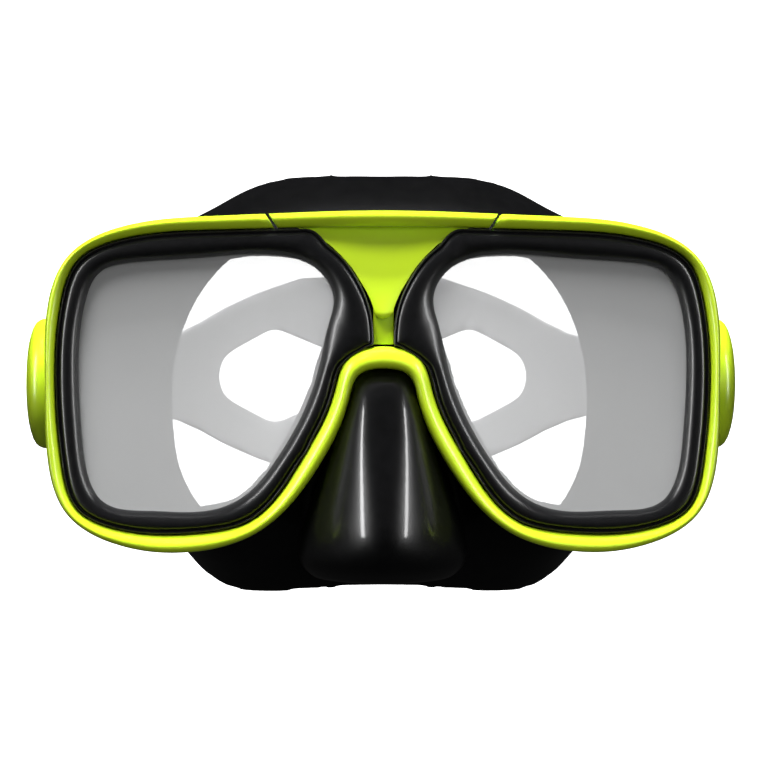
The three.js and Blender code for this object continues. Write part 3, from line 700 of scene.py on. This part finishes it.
def besideRim(outline, gap=0.3, near=2.6, far=4.6):
    # where the outline runs close to the rim, it keeps an even gap to it
    edge = rimInner(np.arange(0, rimCount, 0.01))
    away = edge[None] - outline[:, None]
    distance = np.linalg.norm(away, axis=2)
    nearest = distance.argmin(1)
    rows = np.arange(len(outline))
    d = distance[rows, nearest]
    share = np.clip((far - d) / (far - near), 0, 1)
    return outline + away[rows, nearest] / d[:, None] * ((d - gap) * share)[:, None]


bezelOuter = besideRim(bezelOuter)

bezelSection = [
    (0, 0, 4.7), (0, 0, 3.9), (0.05, 0, 3.0), (0.16, 0, 2.05), (0.32, 0, 1.25), (0.5, 0, 0.95),
    (0.72, 0, 1.15), (1, 1.25, 1.75), (1, 1.0, 2.25), (1, 0.78, 2.3), (1, 0.66, 1.9), (1, 0.5, 1.7),
    (1, 0.25, 1.75), (1, 0.04, 2.1), (1, 0, 2.8), (1, 0, 7.2), (1, 0.3, 7.7), (0.6, 0, 7.8), (0.45, 0, 7.7),
    (0.42, 0, 7.2), (0.42, 0, 5.1), (0.38, 0, 4.75), (0.08, 0, 4.72),
]


def makeBezel():
    obj = hoop("bezel", lensOpening, bezelOuter, bezelSection)
    subdivide(obj, 2)
    smooth(obj)
    return obj


def makeLens():
    # a flat pane with a ground edge
    pane = {"front": 4.95, "back": 7.9, "edge": 0.34, "chamfer": 0.3}
    edge = across(lensOpening, bezelOuter, pane["edge"])
    small = inset(edge, pane["chamfer"])
    obj = loft("lens", [atDepth(small, pane["front"]), atDepth(edge, pane["front"] + pane["chamfer"]),
                        atDepth(edge, pane["back"] - pane["chamfer"]), atDepth(small, pane["back"])])
    smooth(obj, 30)
    return obj


for maker, part, slotName, material in ((makeBezel, "bezel", "black_gloss", gloss),
                                        (makeLens, "lens", "lens_glass", glass)):
    leftPart = settle(maker(), f"left{part.title()}Moulding")
    place(mirrorCopy(leftPart, f"right{part.title()}Moulding"), "mask", slotName, material, f"right_{part}")
    place(leftPart, "mask", slotName, material, f"left_{part}")
print("bezels and lenses made")


# ---- skirt

# matched to the rows of rimEdges: outer lip x, z, face opening x, z
faceEdges = [
    [0, 53.8, 0, 42], [33, 51.2, 24, 39.5], [47, 41.3, 38.5, 32.5], [54.8, 29.5, 47.8, 22.5],
    [59.2, 15.5, 53, 11.5], [60.5, 0, 55.4, 0], [60, -14, 55.2, -12], [58.2, -27, 53.4, -23.5],
    [55, -38.5, 48.8, -32.5], [49, -49.4, 40, -40.6], [38.4, -56, 29.5, -45], [22, -56, 18, -46.2],
    [10, -55, 8, -46.4], [5, -54.7, 4, -46.4], [0, -54.6, 0, -46.4],
]
# nose pocket from its top down: z, half width, front y
noseLevels = [
    [9, 4.4, -38.9], [3.4, 4.2, -39.6], [3, 5, -44.6], [2.6, 5.8, -47.2], [1.8, 6.7, -49.2],
    [0.4, 7.4, -50.9], [-4, 8.6, -53.8], [-12, 11.3, -57.5], [-22, 15, -62], [-31, 18.6, -65.3],
    [-39, 21.4, -66.3], [-46, 21.6, -63], [-50.6, 17, -54],
]


def between(rings, steps):
    # more rings between the given ones, on smooth curves through them
    made = []
    last = len(rings) - 1
    for i in range(last):
        p0, p1, p2, p3 = rings[max(i - 1, 0)], rings[i], rings[i + 1], rings[min(i + 2, last)]
        for t in np.arange(steps) / steps:
            made.append(0.5 * (2 * p1 + (p2 - p0) * t + (2 * p0 - 5 * p1 + 4 * p2 - p3) * t**2
                               + (3 * p1 - p0 - 3 * p2 + p3) * t**3))
    made.append(rings[-1])
    return made


faceMiddle = np.array([0, -2.0])


def onLip(outline, forward):
    return np.stack([outline[:, 0], lipY(outline[:, 0]) - forward, outline[:, 1]], 1)


def skirtOutside():
    skirt = {"inset": 4, "front": 8.9, "straight": 13.6, "steps": 4, "bulge": 1.5, "edge": 0.6, "lip": 1.2,
             "lipRounding": ((0.5, 0.25), (1.4, -0.1)), "inner": 0.4}
    faceRows = whole(faceEdges)
    rows = np.arange(0, rimCount, 1 / 5)
    lipOuter = splineOf([row[:2] for row in faceRows])(rows)
    opening = splineOf([row[2:] for row in faceRows])(rows)
    front = inset(rimInner(rows), skirt["inset"])
    middle = inset((front + lipOuter) / 2, -skirt["bulge"])
    middleY = (depthAt(skirt["straight"] - 3, front[:, 0]) + lipY(lipOuter[:, 0])) / 2
    middleRing = np.stack([middle[:, 0], middleY, middle[:, 1]], 1)
    wall = [atDepth(front, skirt["straight"]), middleRing, onLip(lipOuter, skirt["lip"])]
    edge = skirt["edge"]
    rings = [atDepth(inset(front, edge), skirt["front"]), atDepth(front, skirt["front"] + edge)]
    rings += between(wall, skirt["steps"])
    rings += [onLip(inset(lipOuter, back), forward) for back, forward in skirt["lipRounding"]]
    rings += [onLip(faceMiddle + (opening - faceMiddle) * share, skirt["inner"])
              for share in (1, 0.8, 0.6, 0.4, 0.2, 0.03)]
    return loft("skirtOutside", rings), opening


def noseSolid():
    # each level is a rounded oblong, squarer near the top: a lower exponent gives squarer corners
    nose = {"centre": -36, "back": -14, "sides": 72, "steps": 4,
            "heights": (-39, -31, -22, -12, -4), "exponents": (1.3, 1.15, 0.95, 0.72, 0.55)}
    levels = np.array(noseLevels, float)
    fine = np.array(between([row[None, :] for row in levels], nose["steps"]))[:, 0, :]
    turn = (np.arange(nose["sides"]) + 0.5) / nose["sides"] * math.tau
    rings = []
    for z, half, front in fine:
        exponent = np.interp(z, nose["heights"], nose["exponents"])
        aside, along = (np.sign(v) * np.abs(v) ** exponent for v in (np.cos(turn), np.sin(turn)))
        reach = np.where(along < 0, nose["centre"] - front, nose["back"] - nose["centre"])
        rings.append(np.stack([half * aside, nose["centre"] + reach * along, np.full_like(turn, z)], 1))
    return loft("nose", rings)


def faceTool(opening):
    # a plug for the face opening, which follows the lip
    plug = {"forward": 2.6, "back": -25, "shares": (0.03, 0.2, 0.5, 0.8)}
    rings = [onLip(faceMiddle + (opening - faceMiddle) * share, plug["forward"]) for share in plug["shares"]]
    return loft("faceTool", rings + [onLip(opening, plug["forward"]), onLip(opening, plug["back"])])


def cutHole(obj, tool):
    # cuts along the tool, whose material marks the walls that the cut adds, and deletes them
    tool.data.materials.append(bpy.data.materials.new("toolMark"))
    if not obj.data.materials:
        obj.data.materials.append(silicone)
    applyModifier(obj, "BOOLEAN", operation="DIFFERENCE", object=tool, solver="EXACT",
                  material_mode="TRANSFER")
    bpy.data.objects.remove(tool)
    pick(obj)
    marked = [i for i, m in enumerate(obj.data.materials) if m and m.name.startswith("toolMark")]
    bpy.ops.object.mode_set(mode="EDIT")
    bpy.ops.mesh.select_mode(type="FACE")
    bpy.ops.mesh.select_all(action="DESELECT")
    bpy.ops.object.mode_set(mode="OBJECT")
    for polygon in obj.data.polygons:
        polygon.select = polygon.material_index in marked
    bpy.ops.object.mode_set(mode="EDIT")
    bpy.ops.mesh.delete(type="FACE")
    bpy.ops.object.mode_set(mode="OBJECT")
    obj.data.materials.clear()


def ramp(value, start, length):
    return np.clip((value - start) / length, 0, 1)


def lensWindow():
    # the skirt's window behind a lens, with a flange that shows at the top and the outer side
    flange = {"least": 0.25, "most": 2.9, "top": 0.85, "low": 0.1}
    x, z = lensOpening[:, 0], lensOpening[:, 1]
    upper = flange["top"] * ramp(z, 5, 20) * ramp(x, 34, 18)
    lower = np.maximum(ramp(z, -33, 10), flange["low"])
    return inset(lensOpening, flange["least"] + flange["most"] * np.maximum(ramp(x, 45, 25), upper) * lower)


def makeSkirt():
    skirt = {"voxel": 0.0010, "rounds": 22, "edgeRounds": 6, "wall": 0.0018, "cut": (4, 11.2),
             "seatWidth": (0.5, 1.045), "seatDepth": (8.3, 10.2)}
    obj, opening = skirtOutside()
    obj = join([obj, noseSolid()], "skirtMoulding")
    applyModifier(obj, "REMESH", mode="VOXEL", voxel_size=skirt["voxel"])
    applyModifier(obj, "SMOOTH", factor=0.5, iterations=skirt["rounds"])
    window = lensWindow()
    for side in (1, -1):
        outline = window * np.array([side, 1])
        cutHole(obj, loft("windowTool", [atDepth(outline, depth) for depth in skirt["cut"]]))
    cutHole(obj, faceTool(opening))
    outwards(obj)
    applyModifier(obj, "SMOOTH", factor=0.5, iterations=skirt["edgeRounds"])
    applyModifier(obj, "SOLIDIFY", thickness=skirt["wall"], offset=-1, use_even_offset=False)
    # the seat behind each lens closes the gap between its bezel and the rim
    (near, far), (front, back) = skirt["seatWidth"], skirt["seatDepth"]
    seatSection = [(near, 0, front), (far, 0, front), (far, 0, back), (near, 0, back)]
    leftSeat = hoop("seat", lensOpening, bezelOuter, seatSection)
    obj = join([obj, leftSeat, mirrorCopy(leftSeat, "rightSeat")], "skirtMoulding")
    smooth(obj, 50)
    return obj


place(makeSkirt(), "mask", "black_silicone", silicone, "skirt")
print("skirt made")


# ---- strap

strapSize = {"thickness": 2.0, "backRadius": 68, "backCentre": 62, "tailGap": 0.4, "leave": 0.19, "play": 0.6}
strapHeights = [(0, 31), (22, 30), (36, 25.5), (48, 20.8), (58, 16.4), (68, 13.2), (82, 10.8), (96, 10)]
strapWindow = [(47.6, 0), (45.8, 6.2), (30, 15), (11, 7), (9, 0), (11, -7), (30, -15), (45.8, -6.2)]
rollerRadius = (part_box("left_strap_roller")[1].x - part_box("left_strap_roller")[0].x) / mm / 2
wrapRadius = rollerRadius + strapSize["play"] + strapSize["thickness"] / 2
toRoller = Vector((rollerSpot.x, rollerSpot.y - strapSize["backCentre"]))
reach = strapSize["backRadius"] + wrapRadius
lean = math.acos(reach / toRoller.length) + math.atan2(toRoller.y, toRoller.x)
runLength = math.sqrt(toRoller.length**2 - reach**2)
outward = Vector((math.cos(lean), math.sin(lean)))
rearward = Vector((-math.sin(lean), math.cos(lean)))


def onRun(along, outwardsBy):
    # a place beside the straight run from the roller to the back of the head, in plan
    return rollerSpot.xy - outward * wrapRadius + rearward * along + outward * outwardsBy


def strapRoute():
    # the strap's middle line in plan for the left half, from the back of the head to the tail's end
    s = strapSize
    backAngle = math.pi / 2 - lean
    route = [Vector((s["backRadius"] * math.sin(a), s["backCentre"] + s["backRadius"] * math.cos(a)))
             for a in np.linspace(0, backAngle, 40)]
    route += [onRun(along, 0) for along in np.linspace(runLength, 2, 16)[1:]]
    for a in np.linspace(math.pi + lean, 2 * math.pi + lean - s["leave"], 22):
        route.append(rollerSpot.xy + Vector((math.cos(a), math.sin(a))) * wrapRadius)
    offset = s["thickness"] + s["tailGap"]
    tail = [(14, 6.6), (20, 5.2), (27, 3.9), (36, 2.7), (44, offset), (54, offset), (64, offset)]
    route += [onRun(along, out) for along, out in tail]
    return np.array([tuple(p) for p in route])


def unit(vector):
    return vector / np.linalg.norm(vector)


def onRoute(route, lengths, along):
    # the place and the normal of the strap's middle line at a length along it
    last = len(route) - 2
    i = min(max(int(np.searchsorted(lengths, along)) - 1, 0), last)
    share = (along - lengths[i]) / (lengths[i + 1] - lengths[i])
    here = unit(route[i + 1] - route[i])
    start = unit(unit(route[i] - route[i - 1]) + here) if i > 0 else np.array([1.0, 0.0])
    stop = unit(here + unit(route[i + 2] - route[i + 1])) if i < last else here
    heading = unit(start + (stop - start) * share)
    return route[i] + (route[i + 1] - route[i]) * share, np.array([-heading[1], heading[0]])


def makeStrap():
    strap = {"rows": 20, "coarse": 1.2, "fine": 0.4, "tip": 3, "corner": 4.5, "ridgesFrom": (92, 0.45),
             "ridgesTo": 4, "ridge": 0.32, "ridgePitch": 2.4, "ridgeHalf": 8.2, "ridgeEnd": 0.6, "floor": 0.1,
             "face": 0.7}
    route = strapRoute()
    lengths = np.concatenate([[0], np.cumsum(np.linalg.norm(np.diff(route, axis=0), axis=1))])
    total = lengths[-1]
    before, share = strap["ridgesFrom"]
    ridgeStart = before + runLength * share
    half = [*np.arange(0, ridgeStart, strap["coarse"]), *np.arange(ridgeStart, total, strap["fine"]), total]
    stations = [-s for s in half[:0:-1]] + half
    heightRows = np.array(strapHeights)
    # flat first: along, thickness and height
    rings = []
    up = np.linspace(-1, 1, strap["rows"] + 1)
    for s in stations:
        h = np.interp(abs(s), heightRows[:, 0], heightRows[:, 1])
        h -= strap["tip"] * max(0, (abs(s) - total) / strap["tip"] + 1) ** 2
        face = np.stack([np.full_like(up, s), np.full_like(up, strapSize["thickness"] / 2), up * h], 1)
        rings.append(np.concatenate([face, face[::-1] * (1, -1, 1)]))
    obj = loft("strapBand", rings)
    # the windows, with rounded corners, measured along the curve
    radius = strapSize["backRadius"]
    for side in (1, -1):
        corners = [(side * radius * math.asin(min(1, x / radius)), z) for x, z in strapWindow]
        outline = np.array(roundCorners(corners, strap["corner"], 7))
        sheets = [np.insert(outline, 1, y, axis=1) for y in (-5, 5)]
        cut(obj, loft("strapTool", sheets))
    applyModifier(obj, "BEVEL", width=0.0006, segments=3, limit_method="ANGLE", angle_limit=math.radians(60))
    # bend the sheet round the head and the rollers, and raise the ridges on the outer face
    for vertex in obj.data.vertices:
        s, t, z = vertex.co / mm
        a = abs(s)
        if t < -strap["face"] and ridgeStart < a < total - strap["ridgesTo"]:
            lift = abs((a / strap["ridgePitch"]) % 1 - 0.5) * 2
            inside = 1 - min(1, max(0, (abs(z) - strap["ridgeHalf"]) / strap["ridgeEnd"]))
            t -= (strap["ridge"] * lift - strap["floor"]) * inside
        spot, normal = onRoute(route, lengths, a)
        x, y = spot + normal * t
        vertex.co = Vector((x if s >= 0 else -x, y, z + pivot.z)) * mm
    outwards(obj)
    smooth(obj, 45)
    return obj


def roundCorners(points, radius, steps):
    made = []
    count = len(points)
    for i, corner in enumerate(points):
        corner = Vector(corner)
        ends = []
        for other in (points[i - 1], points[(i + 1) % count]):
            gap = Vector(other) - corner
            ends.append(corner + gap.normalized() * min(radius, gap.length / 2.2))
        for k in range(steps + 1):
            t = k / steps
            spot = ends[0] * (1 - t) ** 2 + corner * 2 * t * (1 - t) + ends[1] * t**2
            made.append(tuple(spot))
    return made


place(makeStrap(), "strap", "black_silicone", strapRubber, "strap")
print("strap made")


# ---- keepers, buckles, levers and rollers: made on the wearer's left and mirrored

def curvePoints(start, middle, end, steps=8):
    # a rounded corner from start to end, pulled towards middle
    start, middle, end = np.array(start), np.array(middle), np.array(end)
    t = np.linspace(0, 1, steps)[:, None]
    return [tuple(spot) for spot in start * (1 - t) ** 2 + middle * 2 * t * (1 - t) + end * t**2]


def plate(name, outline, low, high):
    # an outline in x and y with height along z
    flat = np.array(outline)
    return loft(name, [np.column_stack([flat, np.full(len(flat), z)]) for z in (low, high)])


def soften(obj, width, angle=35):
    applyModifier(obj, "BEVEL", width=width * mm, segments=3, limit_method="ANGLE",
                  angle_limit=math.radians(angle), harden_normals=False)
    smooth(obj, 45)
    return obj


def makeKeeper():
    # a rubber loop round the strap and its tail, with a raised middle band
    keeper = {"from": 49, "wall": 1.5, "inner": -1.3, "outer": 3.7, "half": 10.5, "corner": 1.8}
    middle = (keeper["inner"] + keeper["outer"]) / 2
    wide, tall = (keeper["outer"] - keeper["inner"]) / 2, keeper["half"]
    # share of the wall's thickness, distance along the strap
    section = [(0, 0.15), (0, 7.85), (0.35, 8), (0.75, 8), (1, 7.6), (1, 6.2), (0.86, 5.9), (0.86, 5.6),
               (1.08, 5.1), (1.12, 4), (1.08, 2.9), (0.86, 2.4), (0.86, 2.1), (1, 1.8), (1, 0.4), (0.75, 0),
               (0.35, 0)]
    rings = []
    for thick, along in section:
        out = thick * keeper["wall"]
        w, t = wide + out, tall + out
        corners = [(middle - w, -t), (middle + w, -t), (middle + w, t), (middle - w, t)]
        spots = [(onRun(keeper["from"] + along, aside), z)
                 for aside, z in roundCorners(corners, keeper["corner"] + out, 6)]
        rings.append(np.array([(spot.x, spot.y, z + pivot.z) for spot, z in spots]))
    obj = loft("keeper", rings, loop=True)
    subdivide(obj, 1)
    smooth(obj, 50)
    return obj


buckleSize = {"inner": 82.7, "arm": 14.2, "slot": 11.2, "slotFront": -3.2, "rear": 15, "ear": 2.4, "pin": 1.3,
              "axle": 1.55, "boreHalf": 13.5}


def makeBuckle():
    # a domed round head with a cap seam, and two arms that hold the roller and the lever
    b = buckleSize
    # radius, distance out from the inner face
    profile = [(15.9, 0), (16.6, 0.2), (17, 0.8), (17, 4.9), (16.9, 5.7), (16.55, 6.6), (15.9, 7.35),
               (14.8, 8), (13.2, 8.55), (11.6, 8.95), (11.3, 8.98), (11.15, 8.6), (10.75, 8.6), (10.6, 9.12),
               (8.6, 9.35), (6, 9.5), (3, 9.58), (0.4, 9.6)]
    turn = np.arange(96) / 96 * math.tau
    head = loft("buckle", [np.stack([np.full_like(turn, b["inner"] + x), pivot.y + r * np.cos(turn),
                                     pivot.z + r * np.sin(turn)], 1) for r, x in profile])
    x, rear, roller, lever = b["inner"], b["rear"], rollerSpot, leverSpot
    outline = [(x, pivot.y)] + curvePoints((x, rear - 4), (x, rear), (x + 4, rear))
    outline += curvePoints((roller.x + 1, rear), (roller.x + 4.4, rear - 0.6), (roller.x + 4.6, roller.y))
    outline.append((lever.x + b["ear"] - 0.5, lever.y + 3))
    sweep = np.linspace(0.9, -1.6, 12)
    outline += zip(lever.x + b["ear"] * np.cos(sweep), lever.y + b["ear"] * np.sin(sweep))
    outline.append((x + 4.4, pivot.y))
    arms = plate("arms", outline, pivot.z - b["arm"], pivot.z + b["arm"])
    cut(head, arms, "UNION")
    z = (pivot.z - b["slot"], pivot.z + b["slot"])
    cut(head, block("slot", (x - 2, 99), (b["slotFront"], rear + 2), z))
    for radius, spot in ((b["axle"], roller), (b["pin"], lever)):
        low, high = pivot.z - b["boreHalf"], pivot.z + b["boreHalf"]
        cut(head, post("bore", radius, low, high, (spot.x, spot.y)))
    return soften(head, 0.4)


def makeLever():
    # the pawl that pinches the strap: barrel, plate and a thumb tab with ribs
    lever = {"plate": (92.2, 93.6), "barrel": 2.3, "bore": 1.3, "half": 10.6, "reach": 26, "notch": 2.6,
             "ribs": 5, "ribStart": 14.6, "ribPitch": 2.1, "ribRadius": 0.55}
    near, far = lever["plate"]
    x, y, reach = leverSpot.x, leverSpot.y, lever["reach"]
    outline = [(x + 0.6, y - 2)] + curvePoints((far - 1.6, y - 1.1), (far, y - 0.9), (far, y + 2.4), 6)
    outline += curvePoints((far, reach - 6), (far, reach - 2), (far + 1.2, reach), 6)
    outline.append((far - 0.6, reach))
    outline += curvePoints((far - 0.9, reach - 0.6), (near, reach - 2.6), (near, reach - 5), 5)
    outline += [(near, rollerSpot.y + 1.2), (near - 0.1, rollerSpot.y), (near, rollerSpot.y - 1.2)]
    outline.append((x, y + 1.8))
    low, high = pivot.z - lever["half"], pivot.z + lever["half"]
    obj = plate("lever", outline, low, high)
    cut(obj, post("barrel", lever["barrel"], low, high, (x, y)), "UNION")
    cut(obj, post("bore", lever["bore"], low - 5, high + 5, (x, y)))
    notch = (pivot.z - lever["notch"], pivot.z + lever["notch"])
    cut(obj, block("notch", (80, 99), (y - 4, y + 3), notch))
    for k in range(lever["ribs"]):
        spot = (far - 0.1, lever["ribStart"] + k * lever["ribPitch"])
        cut(obj, post("rib", lever["ribRadius"], low + 1.6, high - 1.6, spot, 20), "UNION")
    return soften(obj, 0.22)


def makeRoller():
    roller = {"radius": 3.2, "bore": 1.6, "half": 10.8, "teeth": 18, "depth": 0.3, "sides": 144}
    turn = np.arange(roller["sides"]) / roller["sides"] * math.tau
    tooth = np.clip(0.5 + 1.1 * np.cos(turn * roller["teeth"]), 0, 1) * roller["depth"]
    r, h = roller["radius"], roller["half"]
    bore = roller["bore"]
    # radius, height, whether knurled
    rows = [(r - 0.4, -h, 0), (r, 0.4 - h, 0), (r, 1.6 - h, 0), (r, 1.9 - h, 1), (r, h - 1.9, 1),
            (r, h - 1.6, 0), (r, h - 0.4, 0), (r - 0.4, h, 0), (bore + 0.2, h, 0), (bore, h - 0.2, 0),
            (bore, 0.2 - h, 0), (bore + 0.2, -h, 0)]
    rings = []
    for radius, z, knurled in rows:
        reached = radius - tooth * knurled
        rings.append(np.stack([rollerSpot.x + reached * np.cos(turn), rollerSpot.y + reached * np.sin(turn),
                               np.full_like(turn, pivot.z + z)], 1))
    obj = loft("roller", rings, loop=True)
    smooth(obj, 30)
    return obj


def makeSpring():
    # a torsion spring of round wire
    spring = {"wire": 0.3, "coil": 1.65, "turns": 2.5, "half": 1.6, "steps": 110, "sides": 12}
    around = np.arange(spring["sides"]) / spring["sides"] * math.tau
    rings = []
    for t in np.linspace(0, 1, spring["steps"]):
        a = t * spring["turns"] * math.tau + math.pi / 2
        out = np.array([math.cos(a), math.sin(a), 0])
        spot = np.array([leverSpot.x, leverSpot.y, pivot.z + spring["half"] * (2 * t - 1)])
        spot += out * spring["coil"]
        ring = np.cos(around)[:, None] * out + np.sin(around)[:, None] * (0, 0, 1)
        rings.append(spot + spring["wire"] * ring)
    obj = loft("spring", rings)
    smooth(obj, 50)
    return obj


def makePin(nodeName, spot):
    # a round pin with softened ends, as long as its CAD node
    low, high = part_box(nodeName)
    pin = post("pin", (high.x - low.x) / mm / 2, low.z / mm, high.z / mm, (spot.x, spot.y))
    return soften(pin, 0.2)


makers = {
    "strap_keeper": (makeKeeper, "strap", "black_silicone", silicone),
    "buckle_body": (makeBuckle, "{}_buckle", "yellow_plastic", yellow),
    "release_lever": (makeLever, "{}_lever", "black_plastic", plastic),
    "strap_roller": (makeRoller, "{}_roller", "black_plastic", plastic),
    "lever_spring": (makeSpring, "{}_buckle", "steel", steel),
    "roller_axle": (lambda: makePin("left_roller_axle", rollerSpot), "{}_buckle", "steel", steel),
    "lever_pin": (lambda: makePin("left_lever_pin", leverSpot), "{}_buckle", "steel", steel),
}
for part, (maker, body, slotName, material) in makers.items():
    leftPart = settle(maker(), f"left_{part}_detail")
    rightPart = mirrorCopy(leftPart, f"right_{part}_detail")
    place(leftPart, body.format("left"), slotName, material, f"left_{part}")
    place(rightPart, body.format("right"), slotName, material, f"right_{part}")
print("keepers, buckles, levers and rollers made")


def makeRetainer():
    # the clamping ring behind the skirt's seat, with softened edges
    retainer = {"inset": (3.6, 0.5), "depth": (10.6, 12.6)}
    rows = np.arange(0, rimCount, 1 / 8)
    inner, outer = (inset(rimInner(rows), distance) for distance in retainer["inset"])
    front, back = retainer["depth"]
    section = [(0, 0, front + 0.3), (0.1, 0, front), (0.9, 0, front), (1, 0, front + 0.3), (1, 0, back - 0.3),
               (0.9, 0, back), (0.6, 0, back), (0.55, 0, back - 0.25), (0.4, 0, back - 0.25), (0.35, 0, back),
               (0.1, 0, back), (0, 0, back - 0.3)]
    obj = hoop("retainer", inner, outer, section)
    smooth(obj, 40)
    return obj


place(makeRetainer(), "mask", "black_plastic", plastic, "skirt_retainer")

# the swivel pins keep their CAD shape
for sideName in ("left", "right"):
    node = frame["nodes"][f"{sideName}_swivel_pin"]
    node.data.materials.clear()
    node.data.materials.append(steel)
print("retainer and pins finished")
